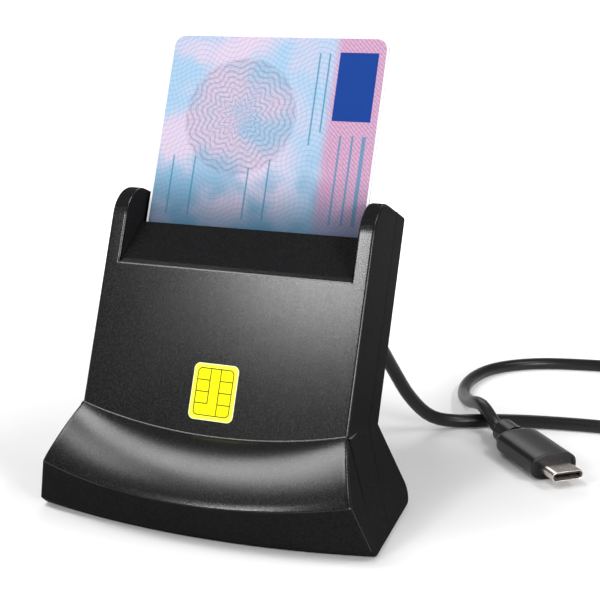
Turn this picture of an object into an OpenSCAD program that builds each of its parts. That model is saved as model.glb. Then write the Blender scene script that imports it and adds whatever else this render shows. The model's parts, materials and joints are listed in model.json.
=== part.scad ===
// Desktop reader for a standard identity or bank card, on a curved, weighted foot, with a USB lead.
// The leaning slab holds the card upright. +Z is up, the slab faces -Y, and z = 0 is the table.

/* [Slab] */
// Backward lean of the slab from upright, in degrees
lean = 21.8; // [14:0.2:26]
// Thickness of each ear beside the card
ear_t = 3.8; // [3.2:0.1:5]
// Room behind the circuit board
rear_room = 4.4; // [4:0.1:8]
// Height of the ears above the card slot
ear_rise = 7.2; // [6:0.1:12]
// Radius over the front of each ear
ear_round = 7.6; // [5:0.1:9]
// Radius of the slab's upright edges
edge_r = 1.2; // [0.5:0.1:1.8]
// Wall of the two shells
wall = 2; // [1.6:0.1:2.2]
// Distance of the seam between the shells behind the board's front
seam_step = 0.7; // [0:0.1:1.2]
// Gap left at the seam
seam_gap = 0.1; // [0.05:0.05:0.2]

/* [Card throat] */
// Height of the lip below the card slot, up the slab
lip_rise = 58.6; // [56:0.2:60]
// Height of the card slot above the lip
slot_step = 11.7; // [9:0.1:14]
// Clearance between the card and each ear
throat_side = 1.11; // [0.5:0.01:2]
// Height of the lower edge of the seated card, up the slab
card_seat = 30; // [29:0.5:34]
// Depth of the card's front behind the slab's front face
card_set = 7.9; // [7.4:0.1:8.4]
// Running clearance on each face and edge of the card
card_gap = 0.25; // [0.2:0.05:0.4]

/* [Card] */
// Short side of the card
card_w = 53.98; // [53.9:0.01:54.1]
// Long side of the card
card_h = 85.6; // [85.4:0.01:85.8]
// Thickness of the card
card_t = 0.76; // [0.68:0.01:0.84]
// Corner radius of the card
card_r = 3.18; // [2.9:0.01:3.5]
// Offset of the contact plate from the card's centre line
chip_off = 3.1; // [2:0.1:4]
// Distance of the contact plate's centre from the inserted edge
chip_rise = 15.2; // [15:0.1:15.5]
// Width of the contact plate, across the card
chip_w = 11.8; // [10:0.1:12.4]
// Height of the contact plate, along the card
chip_h = 13; // [11:0.1:13.6]
// Thickness of the contact plate
chip_t = 0.2; // [0.1:0.05:0.3]
// Corner radius of the contact plate
chip_r = 1; // [0.5:0.1:2]

/* [Foot] */
// Flare of the foot's sides from upright, in degrees
foot_flare = 19; // [17:0.2:21]
// Inward taper of the foot's sides towards the back, in degrees
foot_taper = 4.1; // [3:0.1:5]
// Height where the foot's top meets the slab's side edges
brow_z = 24.2; // [22:0.1:26]
// Drop of that line in the middle
brow_dip = 3.7; // [2:0.1:5]
// Crown of the foot's top between the slab and the crease
foot_crown = 1.5; // [0.5:0.1:2.5]
// Height of the front crease at the sides
crease_z = 13; // [11:0.1:15]
// Drop of the crease in the middle
crease_dip = 3.1; // [2:0.1:4]
// Reach of the crease's ends in front of the table line
crease_y = 0.9; // [0:0.1:3]
// Forward bow of the crease
crease_bow = 4.6; // [3:0.1:6]
// Height of the skirt's lower edge
skirt_z = 2.3; // [1.8:0.1:3]
// Setback of the skirt's lower edge at the sides
skirt_y = 2.6; // [1:0.1:4]
// Forward bow of the skirt's lower edge
skirt_bow = 4.6; // [3:0.1:6]
// Setback of the sole's front edge at the sides
sole_y = 5.1; // [4:0.1:6]
// Forward bow of the sole's front edge
sole_bow = 5.4; // [4:0.1:6]
// Reach of the heel behind the foot's upper back edge
heel_reach = 7.6; // [5:0.1:12]
// Radius under the heel
heel_r = 3.5; // [2:0.1:4.5]
// Clearance of the shells above the table
sole_z = 0.4; // [0.2:0.1:0.8]

/* [Base] */
// Thickness of the base cover
cover_t = 2; // [1.6:0.1:2.4]
// Recess of the base cover inside the shells
cover_up = 0.4; // [0.2:0.1:0.6]
// Clearance around the base cover
cover_gap = 0.2; // [0.1:0.05:0.3]
// Radius of a rubber foot
pad_r = 3.5; // [3:0.1:3.8]
// Thickness of a rubber foot
pad_t = 1.2; // [1:0.1:1.4]
// Clearance between the steel weight and the screw posts
weight_side = 1.2; // [0.5:0.1:5]
// Depth of the steel weight
weight_l = 17; // [12:0.5:18]
// Thickness of the steel weight
weight_t = 6.5; // [4:0.1:7]
// Radius of the two posts that hold the weight
post_r = 1.8; // [1.4:0.1:2.2]
// Radius of a base screw's shank
screw_r = 1; // [0.8:0.05:1.1]
// Radius of a base screw's head
screw_head_r = 2.2; // [2:0.1:2.4]
// Thickness of a base screw's head
screw_head_t = 0.9; // [0.7:0.05:1]
// Length of a base screw's shank
screw_l = 8; // [6:0.5:8]

/* [Board] */
// Clearance between the circuit board and the shells' side walls
board_side = 1.9; // [1:0.1:3]
// Lower edge of the circuit board, up the slab
board_low = 22; // [21.5:0.5:24]
// Clearance between the board's upper edge and the tongue
board_under = 2.3; // [1:0.1:4]
// Thickness of the circuit board
board_t = 1.2; // [0.8:0.1:1.6]
// Room for the contacts between the card and the board
contact_room = 4.49; // [4:0.01:6]
// Half width of the contact carrier
carrier_half = 10; // [9:0.5:11]
// Diameter of the switch plunger
plunger_dia = 1.6; // [1.2:0.1:2]
// Throw of the switch plunger
plunger_throw = 0.8; // [0.4:0.1:1]

/* [Badge] */
// Width of the contact badge on the front
badge_w = 10.7; // [9:0.1:12]
// Height of the contact badge
badge_h = 12.5; // [10:0.1:14]
// Height of the badge's centre, up the slab
badge_rise = 31.7; // [30:0.1:36]
// Corner radius of the badge
badge_r = 1.4; // [0.8:0.1:2]
// Thickness of the badge
badge_t = 0.36; // [0.3:0.02:0.5]
// Depth of the badge's pocket
badge_pocket = 0.3; // [0.2:0.02:0.34]
// Width of the grooves between the badge's fields
badge_line = 0.3; // [0.2:0.05:0.4]

/* [Lead] */
// Diameter of the cable
cable_dia = 3.5; // [3:0.1:3.8]
// Sideways place of the cable outlet
outlet_x = 12; // [8:0.5:14]
// Distance of the cable outlet below the top of the hollow
outlet_drop = 8.3; // [6.5:0.1:12]
// Length of the strain relief outside the shell
boot_l = 12; // [8:0.5:16]
// Wall of the strain relief at its thin end
boot_wall = 0.55; // [0.4:0.05:0.8]
// Growth of the strain relief's radius towards the shell
boot_taper = 1.2; // [0.5:0.1:1.5]
// Width of the plug's grip
grip_w = 12.2; // [11:0.1:12.4]
// Thickness of the plug's grip
grip_t = 6.6; // [6:0.1:7]
// Length of the plug's grip
grip_l = 20; // [16:0.5:24]
// Step from the grip's flat down to the neck
neck_step = 0.1; // [0.1:0.05:0.5]
// Length of the plug's neck
neck_l = 7; // [5:0.5:9]
// Width of the plug's steel shell
shell_w = 8.25; // [8.1:0.05:8.4]
// Height of the plug's steel shell
shell_h = 2.4; // [2.3:0.05:2.5]
// Length of the plug's steel shell outside the grip
shell_l = 6.65; // [6.2:0.05:7]
// Wall of the plug's steel shell
shell_wall = 0.3; // [0.2:0.05:0.35]

/* [Hidden] */
$fn = 64;

// Overrun of every cut, and the depth by which joined solids run into each other
over = 1;

// Stations across the foot, and steps round its crown, its heel and the ears. The crown starts inside
// the slab by a share of a step, so that none of its edges lies on the slab's face.
foot_steps = 24;
crown_steps = 6;
crown_start_share = 0.35;
heel_steps = 5;
ear_steps = 10;

// Card throat, worked out from the card, with the sloping lip in front of it
slot_front = card_set - card_gap;
slot_back = card_set + card_t + card_gap;
slot_rise = lip_rise + slot_step;
ear_top = slot_rise + ear_rise;
throat_w = card_w + 2 * throat_side;
slab_w = throat_w + 2 * ear_t;
board_d = slot_back + contact_room;
board_back = board_d + board_t;
seam_d = board_d + seam_step;
slab_t = board_back + rear_room + wall;
chamfer = [slot_front, slot_rise - lip_rise];
chamfer_l = norm(chamfer);
throat_wall_s = lip_rise - wall * chamfer_l / chamfer[0] + wall * chamfer[1] / chamfer[0];
tongue_low = slot_rise - 2 * wall;
rear_hollow_top = tongue_low + wall;
tongue_gap = 0.15;

// Locating pegs between the tongue and the ears
peg_r = 1;
peg_l = 1.2;
peg_gap = 0.05;
peg_s = (slot_rise + ear_top) / 2;
peg_d = (slot_back + seam_d) / 2;

// The foot's edges: setback and height at the sides, then bow and dip in the middle
brow_y = brow_z * tan(lean);
brow_bow = brow_dip * tan(lean);
knee_z = 20.2;
knee_y = knee_z * tan(lean) + slab_t / cos(lean);
heel_y = knee_y + heel_reach;
brow_lap = 0.07;
foot_half = slab_w / 2 + brow_lap + brow_z * tan(foot_flare) + brow_y * tan(foot_taper);
knee_rise = (knee_z + slab_t * sin(lean)) / cos(lean);
brow_rise = (brow_z - brow_dip) / cos(lean);
heel_run = [heel_y - knee_y, -knee_z];
heel_dir = heel_run / norm(heel_run);
heel_turn = 180 - acos(heel_dir[0]);
heel_corner = heel_y + sole_z * heel_dir[0] / heel_dir[1];
heel_flat = heel_corner - heel_r * tan(heel_turn / 2);

// Origin: the middle of the reader's depth, from the crease to the top of the card
card_top = card_seat + card_h;
origin_y = (card_top * sin(lean) + (card_set + card_t) * cos(lean) - crease_y - crease_bow) / 2;

// The slab's run down inside the foot, and the hollow in the foot
slab_tuck = 6;
hollow_low = 13.5;
roof_wall = 2.8;
roof_run_share = 1.3;
skirt_wall = 1.4;
heel_wall = 3;

// Base cover, its screws, posts and feet
cover_low = sole_z + cover_up;
cover_high = cover_low + cover_t;
cover_back = heel_flat - wall / 2;
pad_z = pad_t - cover_low;
pad_shares = [[0.756, 0.248], [0.756, 0.718]];
pad_places = [for (p = pad_shares) [p[0] * foot_half, p[1] * heel_y]];
screw_shares = [[0.537, 0.261], [0.561, 0.731]];
screw_places = [for (p = screw_shares) [p[0] * foot_half, p[1] * heel_y]];
boss_r = 2.8;
boss_top_shares = [0.9, 0.6];
boss_bore = screw_r + peg_gap;
head_gap = 0.3;
weight_w = 2 * (screw_places[0][0] - boss_r - weight_side);
weight_y = 20.5;
post_x = 11;
post_head_r = 3;
post_head_t = 0.8;
post_gap = 0.1;

// Slots in a screw's head, as shares of its radius
cross_long_share = 1.2;
cross_wide_share = 0.25;

// Board, its screws and what it carries. Places are shares of its half width and of its height.
board_screw_x = 22;
board_screw_in = 3;
board_screw_r = 0.8;
board_screw_head_r = 1.8;
board_screw_head_t = 1.1;
board_boss_r = 2.3;
board_half = slab_w / 2 - wall - board_side;
board_high = tongue_low - board_under;
carrier_gap = 0.1;
carrier_d = slot_back + carrier_gap;
carrier_s = card_seat + chip_rise;
contact_pitch = 2.54;
contact_span = 7.62;
spring_w = 0.9;
spring_t = 0.25;
spring_l = 5.5;
spring_rest = 0.15;
cradle_side = 0.6;
cradle_lap = 1.4;
cradle_lead = 1.1;
cradle_half = slab_w / 2 - wall - cradle_side;
cradle_in = card_w / 2 - cradle_lap;
cradle_front = slot_front - cradle_lead;
cradle_drop = 1.6;
cradle_high = lip_rise - cradle_drop;
cradle_floor_t = 2;
cradle_floor = card_seat - card_gap;
carrier_over = 0.6;
carrier_low = cradle_floor + carrier_gap;
carrier_high = carrier_s + contact_span / 2 + spring_l + carrier_over;
switch_x = -12;
switch_w = 7;
switch_h = 5;
switch_cap = 1;
plunger_gap = 0.1;
plunger_d = card_set + card_t / 2;
collar_lap = 0.4;
collar_dia = plunger_dia + 2 * collar_lap;
collar_t = 0.8;
controller_share = [-0.21, 0.48];
controller_size = [7, 1, 7];
controller_legs = 8;
memory_share = [-0.68, 0.3];
memory_size = [4, 1.2, 5];
memory_legs = 4;
crystal_share = [-0.25, 0.74];
crystal_size = [8, 1.8, 3.4];
crystal_r = 1.6;
capacitor_size = [1.6, 0.8, 0.9];
capacitor_shares = [
    [-0.5, 0.67], [-0.5, 0.57], [-0.5, 0.48], [-0.5, 0.38], [0.07, 0.52], [0.07, 0.43], [0.8, 0.52],
    [0.8, 0.43]
];

// Badge: the middle field's share of the width, and the spacing of the cross lines
badge_field_share = 0.3;
badge_row_share = 0.21;

// Cable outlet: neck in the shell's wall, flange inside it, wires and their header
outlet_rise = rear_hollow_top - outlet_drop;
boot_tip = cable_dia + 2 * boot_wall;
boot_dia = boot_tip + 2 * boot_taper;
boot_lap = 0.5;
outlet_neck = boot_dia - 2 * boot_lap;
boot_grooves = 4;
flange_lap = 1.1;
flange_r = boot_dia / 2 + flange_lap;
flange_t = 1;
wire_r = 0.5;
wire_pitch = 1.3;
wires = 4;
header_h = 5;
header_t = 2.4;
header_drop = 7;

// Plug
neck_round = 1.2;
shoulder_l = 2.6;
shoulder_in = 1.6;
neck_dia = grip_t - 2 * neck_step;
slice_t = 0.1;
side_flat = 0.02;
shell_in = 3;
insert_size = [shell_w - 2 * shell_wall - peg_gap, shell_h - 2 * shell_wall - peg_gap];
mouth_side = 0.45;
mouth_wall = 0.425;
insert_mouth = insert_size - 2 * [mouth_side, mouth_wall];
insert_depth = 4.8;
pins = 12;
pin_pitch = insert_mouth[0] / (pins + 1);
pin_w_share = 0.5;
pin_w = pin_pitch * pin_w_share;
pin_t = 0.08;

// Route of the cable in the part's own frame, chosen by hand: from the strain relief to the coil
floor_z = cable_dia / 2;
route_out = [
    [13, 36.5, 40], [15.5, 41.5, 35], [18.5, 46.5, 28], [21.5, 51, 19.5], [25, 56, 10.5],
    [29.5, 61.5, 4], [36, 67, floor_z], [45, 71, floor_z], [56, 74, floor_z], [69, 76, floor_z],
    [84, 77, floor_z]
];
// Centre, outer radius and turns of the coil, which winds in on the table and out on top
coil_centre = [104, 105];
coil_r = 28;
coil_turns_in = 3.5;
turn_gap = 0.6;
turn_pitch = cable_dia + turn_gap;
coil_dip = 0.8;
coil_z = floor_z + turn_pitch;
ring_per_turn = 24;
coil_sides = 6;
// From the coil back to the plug, over the first run in a low hump
hump_z = 5.9;
route_back = [
    [92, 133, 4.6], [83, 133, 2.6], [72, 132.5, floor_z], [59, 131, floor_z], [44, 126.5, floor_z],
    [33.5, 117, floor_z], [29.5, 104, floor_z], [30.5, 91, floor_z], [35, 79.5, 3.4],
    [41, 69.8, hump_z]
];
plug_tail = [48.7, 60.3, grip_t / 2];
plug_yaw = -50;
plug_dir = [cos(plug_yaw), sin(plug_yaw), 0];
cable_sides = 8;
route_steps = 2;
shell_black = [0.035, 0.035, 0.038];
steel = [0.72, 0.7, 0.68];

// Frames

module stand() {
    translate([0, -origin_y, 0]) children();
}

// x across, y as depth behind the slab's front face, z as the way up the slab
module on_slab() {
    stand() rotate([-lean, 0, 0]) children();
}

// x along the plug from its tail, z up
module on_plug() {
    translate(plug_tail) rotate([0, 0, plug_yaw]) children();
}

// A bar across the slab whose outline is drawn as depth and way up the slab
module slab_bar(half) {
    rotate([90, 0, 90]) translate([0, 0, -half]) linear_extrude(2 * half) children();
}

module box(low, high) {
    translate(low) cube(high - low);
}

module mirrored() {
    children();
    mirror([1, 0, 0]) children();
}

// A rectangle with true round corners, centred
module round_rect(w, h, r) {
    square([w - 2 * r, h], center = true);
    square([w, h - 2 * r], center = true);
    for (x = [-1, 1], y = [-1, 1]) {
        translate([x * (w / 2 - r), y * (h / 2 - r)]) circle(r);
    }
}

// Curves

function mix(a, b, f) = a + (b - a) * f;

// Half width of the foot at a depth and a height
function side_x(y, z) = foot_half - z * tan(foot_flare) - y * tan(foot_taper);

// An edge of the foot: [depth, height, bow, dip]
crown_edges = [
    for (i = [-1:crown_steps])
    let (f = (i + crown_start_share) / (crown_steps + crown_start_share))
    let (run = [-crease_y - brow_y, crease_z - brow_z])
    let (lift = 4 * foot_crown * f * (1 - f) / norm(run))
    [
        brow_y + run[0] * f + run[1] * lift,
        brow_z + run[1] * f - run[0] * lift,
        mix(brow_bow, crease_bow, f),
        mix(brow_dip, crease_dip, f)
    ]
];
heel_edges = [
    for (i = [0:heel_steps])
    let (a = -90 + heel_turn * i / heel_steps)
    let (y = heel_flat + heel_r * cos(a))
    [y, sole_z + heel_r * (1 + sin(a)), 0, 0]
];
knee_edge = [knee_y - over * heel_dir[0], knee_z - over * heel_dir[1], 0, 0];
foot_edges = concat(
    crown_edges,
    [[skirt_y, skirt_z, skirt_bow, 0], [sole_y, sole_z, sole_bow, 0]],
    heel_edges,
    [knee_edge]
);

// A point of the foot, where u runs from -1 to 1 across it
function foot_point(u, e) = [
    u * side_x(e[0], e[1]), e[0] - e[2] * (1 - u * u), e[1] - e[3] * (1 - u * u)
];

// A closed skin over rings of points, of n points each
function skin_faces(rings, n) = [
    for (i = [0:rings - 2], j = [0:n - 1], k = [0, 1])
    let (a = i * n + j)
    let (b = i * n + (j + 1) % n)
    k == 0 ? [a, b, a + n] : [b, b + n, a + n]
];

function cap_faces(rings, n) = concat(
    [for (j = [1:n - 2]) [0, j + 1, j]],
    [for (j = [1:n - 2]) [for (k = [0, j, j + 1]) (rings - 1) * n + k]]
);

module foot_body() {
    n = len(foot_edges);
    points = [for (i = [0:foot_steps], e = foot_edges) foot_point(1 - 2 * i / foot_steps, e)];
    polyhedron(points, concat(skin_faces(foot_steps + 1, n), cap_faces(foot_steps + 1, n)));
}

// Outline of the sole, drawn in by a margin
module sole_outline(inset) {
    half = side_x(sole_y, sole_z) - inset;
    back = cover_back - inset + wall;
    polygon(concat(
        [
            for (i = [0:foot_steps])
            let (u = 2 * i / foot_steps - 1)
            [u * half, sole_y + inset - sole_bow * (1 - u * u)]
        ],
        [
            [side_x(back, sole_z) - inset, back],
            [-side_x(back, sole_z) + inset, back]
        ]
    ));
}

// Shells

module slab_body() {
    intersection() {
        on_slab() slab_bar(slab_w / 2) polygon(concat(
            [[slab_t, ear_top], [slab_t, knee_rise - slab_tuck], [0, brow_rise - slab_tuck]],
            [
                for (i = [0:ear_steps])
                let (a = 180 - 90 * i / ear_steps)
                [ear_round * (1 + cos(a)), ear_top - ear_round * (1 - sin(a))]
            ]
        ));
        on_slab() translate([0, slab_t / 2, 0]) linear_extrude(ear_top + over)
            round_rect(slab_w, slab_t, edge_r);
    }
}

module body() {
    slab_body();
    stand() foot_body();
}

// The space inside both shells
module hollow() {
    on_slab() slab_bar(slab_w / 2 - wall) {
        polygon([
            [wall, hollow_low], [wall, throat_wall_s],
            [slot_front, throat_wall_s + (slot_front - wall) * chamfer[1] / chamfer[0]],
            [slot_front, tongue_low], [seam_d, tongue_low], [seam_d, hollow_low]
        ]);
        translate([seam_d, hollow_low])
            square([slab_t - wall - seam_d, rear_hollow_top - hollow_low]);
    }
    stand() foot_hollow();
    stand() linear_extrude(cover_high + cover_gap) sole_outline(wall);
}

module foot_hollow() {
    low = cover_high;
    roof = knee_z - roof_wall;
    skirt_in = [sole_y + skirt_wall, crease_z - wall];
    intersection() {
        slab_bar(foot_half)
            polygon([
                [skirt_in[0], low], [wall, skirt_in[1]],
                [wall + (roof - skirt_in[1]) * roof_run_share, roof], [knee_y - wall, roof],
                [heel_y - heel_wall + heel_dir[0] * low / heel_dir[1], low]
            ]);
        translate([0, -crease_bow - over, 0]) rotate([90, 0, 0]) mirror([0, 0, 1])
            linear_extrude(heel_y + 2 * crease_bow)
                polygon([
                    for (p = [[-1, low], [1, low], [1, roof], [-1, roof]])
                    [p[0] * (side_x(heel_y, p[1]) - wall), p[1]]
                ]);
    }
}

// Everything in front of a depth in the slab, and everything behind it
module front_side(depth) {
    on_slab() box([-foot_half * 2, -heel_y, -heel_y], [foot_half * 2, depth, ear_top + heel_y]);
}

module back_side(depth) {
    on_slab() box([-foot_half * 2, depth, -heel_y], [foot_half * 2, heel_y * 2, ear_top + heel_y]);
}

module bosses(i) {
    p = screw_places[i];
    stand() mirrored() translate([p[0], p[1], cover_high + cover_gap])
        cylinder(r = boss_r, h = boss_top_shares[i] * knee_z - cover_high - cover_gap);
}

module boss_bores(i) {
    p = screw_places[i];
    stand() mirrored() translate([p[0], p[1], 0]) cylinder(r = boss_bore, h = cover_high + screw_l);
}

module front_shell() {
    color(shell_black) difference() {
        intersection() {
            body();
            front_side(seam_d - seam_gap / 2);
        }
        difference() {
            hollow();
            bosses(0);
        }
        boss_bores(0);
        on_slab() slab_bar(throat_w / 2)
            polygon([
                [-over, lip_rise], [0, lip_rise], [slot_front, slot_rise],
                [slot_front, tongue_low - over], [seam_d + over, tongue_low - over],
                [seam_d + over, ear_top + over], [-over, ear_top + over]
            ]);
        on_slab() mirrored() translate([throat_w / 2 - over, peg_d, peg_s]) rotate([0, 90, 0])
            cylinder(r = peg_r + peg_gap, h = peg_l + over);
        on_slab() translate([0, badge_pocket, badge_rise]) rotate([90, 0, 0])
            linear_extrude(over) round_rect(badge_w + 2 * peg_gap, badge_h + 2 * peg_gap, badge_r);
    }
}

module board_bosses() {
    for (s = [board_low + board_screw_in, board_high - board_screw_in])
        mirrored() translate([board_screw_x, 0, s]) rotate([-90, 0, 0]) children();
}

module rear_shell() {
    inner = slab_t - wall;
    color(shell_black * 0.9) difference() {
        union() {
            difference() {
                intersection() {
                    body();
                    back_side(seam_d + seam_gap / 2);
                }
                difference() {
                    hollow();
                    bosses(1);
                }
            }
            on_slab() box(
                [-throat_w / 2 + tongue_gap, slot_back, tongue_low + tongue_gap],
                [throat_w / 2 - tongue_gap, seam_d + seam_gap, ear_top - edge_r]
            );
            on_slab() mirrored() translate([throat_w / 2 - over, peg_d, peg_s]) rotate([0, 90, 0])
                cylinder(r = peg_r, h = over + peg_l - peg_gap);
            on_slab() board_bosses() translate([0, 0, board_back])
                cylinder(r = board_boss_r, h = inner - board_back + over);
        }
        boss_bores(1);
        on_slab() board_bosses() translate([0, 0, board_back - over])
            cylinder(r = board_screw_r + peg_gap, h = inner - board_back + over);
        on_slab() translate([outlet_x, inner - over, outlet_rise]) rotate([-90, 0, 0])
            cylinder(d = outlet_neck + 2 * peg_gap, h = wall + 2 * over);
    }
}

// Base

module base_cover() {
    color([0.05, 0.05, 0.05]) stand() difference() {
        union() {
            translate([0, 0, cover_low]) linear_extrude(cover_t) sole_outline(wall + cover_gap);
            mirrored() translate([post_x, weight_y, cover_low]) {
                cylinder(r = post_r, h = cover_t + weight_t + 2 * post_gap + post_head_t);
                translate([0, 0, cover_t + weight_t + 2 * post_gap]) cylinder(r = post_head_r, h = post_head_t);
            }
        }
        for (p = screw_places) mirrored() translate([p[0], p[1], 0]) {
            cylinder(r = screw_r + head_gap, h = cover_high + over);
            cylinder(r = screw_head_r + head_gap, h = cover_low + screw_head_t + peg_gap);
        }
        for (p = pad_places) mirrored() translate([p[0], p[1], 0])
            cylinder(r = pad_r + peg_gap, h = pad_t);
    }
}

module base_weight() {
    color(steel) stand() difference() {
        translate([0, weight_y, cover_high + post_gap]) linear_extrude(weight_t)
            round_rect(weight_w, weight_l, wall);
        mirrored() translate([post_x, weight_y, 0])
            cylinder(r = post_r + post_gap, h = cover_high + weight_t + over);
    }
}

module rubber_feet() {
    color([0.02, 0.02, 0.02]) stand() for (p = pad_places) mirrored() translate([p[0], p[1], 0])
        rotate_extrude() polygon([[0, 0], [pad_r - pad_z, 0], [pad_r, pad_z], [pad_r, pad_t], [0, pad_t]]);
}

// A cross-head screw whose head rests at z = 0 with its shank up
module screw(shank_r, shank_l, head_r, head_t) {
    difference() {
        union() {
            cylinder(r = shank_r, h = shank_l);
            translate([0, 0, -head_t]) cylinder(r = head_r, h = head_t);
        }
        for (a = [0, 90]) rotate([0, 0, a])
            translate([0, 0, -head_t])
                cube([head_r * cross_long_share, head_r * cross_wide_share, head_t], center = true);
    }
}

module base_screws() {
    color(steel) stand() for (p = screw_places) mirrored()
        translate([p[0], p[1], cover_low + screw_head_t + peg_gap])
            screw(screw_r, screw_l, screw_head_r, screw_head_t);
}

// Badge on the front

module contact_badge() {
    field = badge_w * badge_field_share / 2;
    side = badge_w / 2 - badge_r;
    color([0.95, 0.85, 0.05]) on_slab() translate([0, badge_pocket, badge_rise]) rotate([90, 0, 0])
        difference() {
            linear_extrude(badge_t) round_rect(badge_w, badge_h, badge_r);
            translate([0, 0, badge_t - badge_line / 2]) linear_extrude(over) {
                difference() {
                    round_rect(badge_w - 2 * badge_r, badge_h - 2 * badge_r, badge_r - badge_line);
                    round_rect(
                        badge_w - 2 * badge_r - 2 * badge_line, badge_h - 2 * badge_r - 2 * badge_line,
                        badge_r - 2 * badge_line
                    );
                }
                for (x = [-1, 1]) translate([x * field, 0])
                    square([badge_line, badge_h - 2 * badge_r - badge_line], center = true);
                for (x = [-1, 1], y = [-1, 0, 1])
                    translate([x * (field + side - badge_line / 2) / 2, y * badge_h * badge_row_share])
                        square([side - badge_line / 2 - field, badge_line], center = true);
            }
        }
}

// Board and what it carries

module circuit_board() {
    color([0.05, 0.3, 0.16]) on_slab() difference() {
        box([-board_half, board_d, board_low], [board_half, board_back, board_high]);
        board_bosses() cylinder(r = board_screw_r + head_gap, h = slab_t);
    }
}

module board_screws() {
    color(steel) on_slab() board_bosses() translate([0, 0, board_d])
        screw(board_screw_r, board_t + board_boss_r, board_screw_head_r, board_screw_head_t);
}

// A place on the back of the board
module on_board(share) {
    on_slab() translate([
        share[0] * board_half, board_back, mix(board_low, board_high, share[1])
    ]) children();
}

// A chip body with its legs
module chip_body(size, legs) {
    pitch = size[2] / legs;
    translate([-size[0] / 2, size[1] / 6, -size[2] / 2]) cube([size[0], size[1] * 5 / 6, size[2]]);
    for (i = [0:legs - 1], k = [-1, 1])
        translate([k * (size[0] / 2 + pitch / 4), 0, (i + 1 / 2) * pitch - size[2] / 2])
            box([-pitch / 2, 0, -pitch / 5], [pitch / 2, size[1] / 3, pitch / 5]);
}

module controller_chip() {
    color([0.04, 0.04, 0.045]) on_board(controller_share) chip_body(controller_size, controller_legs);
}

module memory_chip() {
    color([0.04, 0.04, 0.045]) on_board(memory_share) chip_body(memory_size, memory_legs);
}

module crystal() {
    color(steel) on_board(crystal_share) rotate([-90, 0, 0])
        linear_extrude(crystal_size[1]) round_rect(crystal_size[0], crystal_size[2], crystal_r);
}

module capacitors() {
    color([0.5, 0.4, 0.28]) for (p = capacitor_shares) on_board(p)
        translate([-capacitor_size[0] / 2, 0, -capacitor_size[2] / 2]) cube(capacitor_size);
}

module contact_carrier() {
    color([0.08, 0.08, 0.085]) on_slab() difference() {
        box(
            [chip_off - carrier_half, carrier_d, carrier_low],
            [chip_off + carrier_half, board_d, carrier_high]
        );
        each_contact() box(
            [-spring_w / 2 - card_gap, carrier_d - over, -spring_l - card_gap],
            [spring_w / 2 + card_gap, board_d - spring_t * 2, spring_t * 4]
        );
    }
}

module each_contact() {
    for (i = [-1.5:1:1.5], k = [0, 1])
        translate([chip_off + i * contact_pitch, 0, carrier_s + (k - 0.5) * contact_span])
            mirror([0, 0, k]) children();
}

// Each spring is a bent strip: rooted in the carrier, with its dimple just off the card's contact plate
module contact_springs() {
    tip = card_set + card_t + spring_rest;
    root = board_d - spring_t * 2;
    color([0.83, 0.66, 0.28]) on_slab() each_contact() slab_bar(spring_w / 2)
        polygon([
            [root, -spring_l], [root - spring_t, -spring_l], [root - spring_t, -spring_l + 3 * spring_t],
            [tip, -spring_t / 2], [tip, spring_t / 2], [tip + 2 * spring_t, 3 * spring_t],
            [tip + 3 * spring_t, 3 * spring_t], [tip + spring_t * 1.5, 0], [root, -spring_l + 4 * spring_t]
        ]);
}

// Two grooved rails and a floor that hold the card's edges
module card_cradle() {
    low = cradle_floor - cradle_floor_t;
    color([0.1, 0.1, 0.11]) on_slab() difference() {
        box([-cradle_half, cradle_front, low], [cradle_half, board_d, cradle_high]);
        box([-cradle_in, cradle_front - over, cradle_floor], [cradle_in, board_d + over, cradle_high + over]);
        box(
            [-card_w / 2 - card_gap, slot_front, cradle_floor],
            [card_w / 2 + card_gap, slot_back, cradle_high + over]
        );
        translate([switch_x, plunger_d, low - over])
            cylinder(d = plunger_dia + 2 * card_gap, h = cradle_floor_t + 2 * over);
    }
}

module switch_housing() {
    top = cradle_floor - cradle_floor_t;
    color([0.85, 0.84, 0.8]) on_slab() difference() {
        box([switch_x - switch_w / 2, cradle_front, top - switch_h], [switch_x + switch_w / 2, board_d, top]);
        translate([switch_x, plunger_d, top - switch_h + switch_cap]) {
            cylinder(d = plunger_dia + 2 * plunger_gap, h = switch_h);
            cylinder(d = collar_dia + 2 * plunger_gap, h = switch_h - 2 * switch_cap);
        }
    }
}

// The collar keeps the plunger in its housing, with its throw free above
module switch_plunger() {
    top = card_seat - spring_rest;
    cap_low = cradle_floor - cradle_floor_t - switch_cap;
    low = cradle_floor - cradle_floor_t - switch_h + switch_cap + plunger_gap;
    color([0.75, 0.1, 0.08]) on_slab() translate([switch_x, plunger_d, 0]) {
        translate([0, 0, low]) cylinder(d = plunger_dia, h = top - low);
        translate([0, 0, cap_low - plunger_gap - plunger_throw - collar_t])
            cylinder(d = collar_dia, h = collar_t);
    }
}

module cable_header() {
    half = wires * wire_pitch / 2 + wire_r;
    color([0.9, 0.88, 0.82]) on_slab() difference() {
        translate([outlet_x, board_back, outlet_rise - header_drop - header_h])
            box([-half, 0, 0], [half, header_t, header_h]);
        each_wire() translate([0, 0, -header_h / 2]) cylinder(r = wire_r + peg_gap, h = header_h);
    }
}

module each_wire() {
    for (i = [0:wires - 1])
        translate([
            outlet_x + (i - (wires - 1) / 2) * wire_pitch, board_back + header_t / 2,
            outlet_rise - header_drop
        ]) children();
}

module inner_wires() {
    drop = slab_t - wall - flange_t - board_back - header_t / 2;
    color([0.7, 0.15, 0.12]) on_slab() each_wire() {
        translate([0, 0, -header_h / 2 + peg_gap]) cylinder(r = wire_r, h = header_drop + header_h / 2);
        translate([0, 0, header_drop]) rotate([-90, 0, 0]) cylinder(r = wire_r, h = drop);
        translate([0, 0, header_drop]) sphere(wire_r);
    }
}

// Lead

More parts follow.
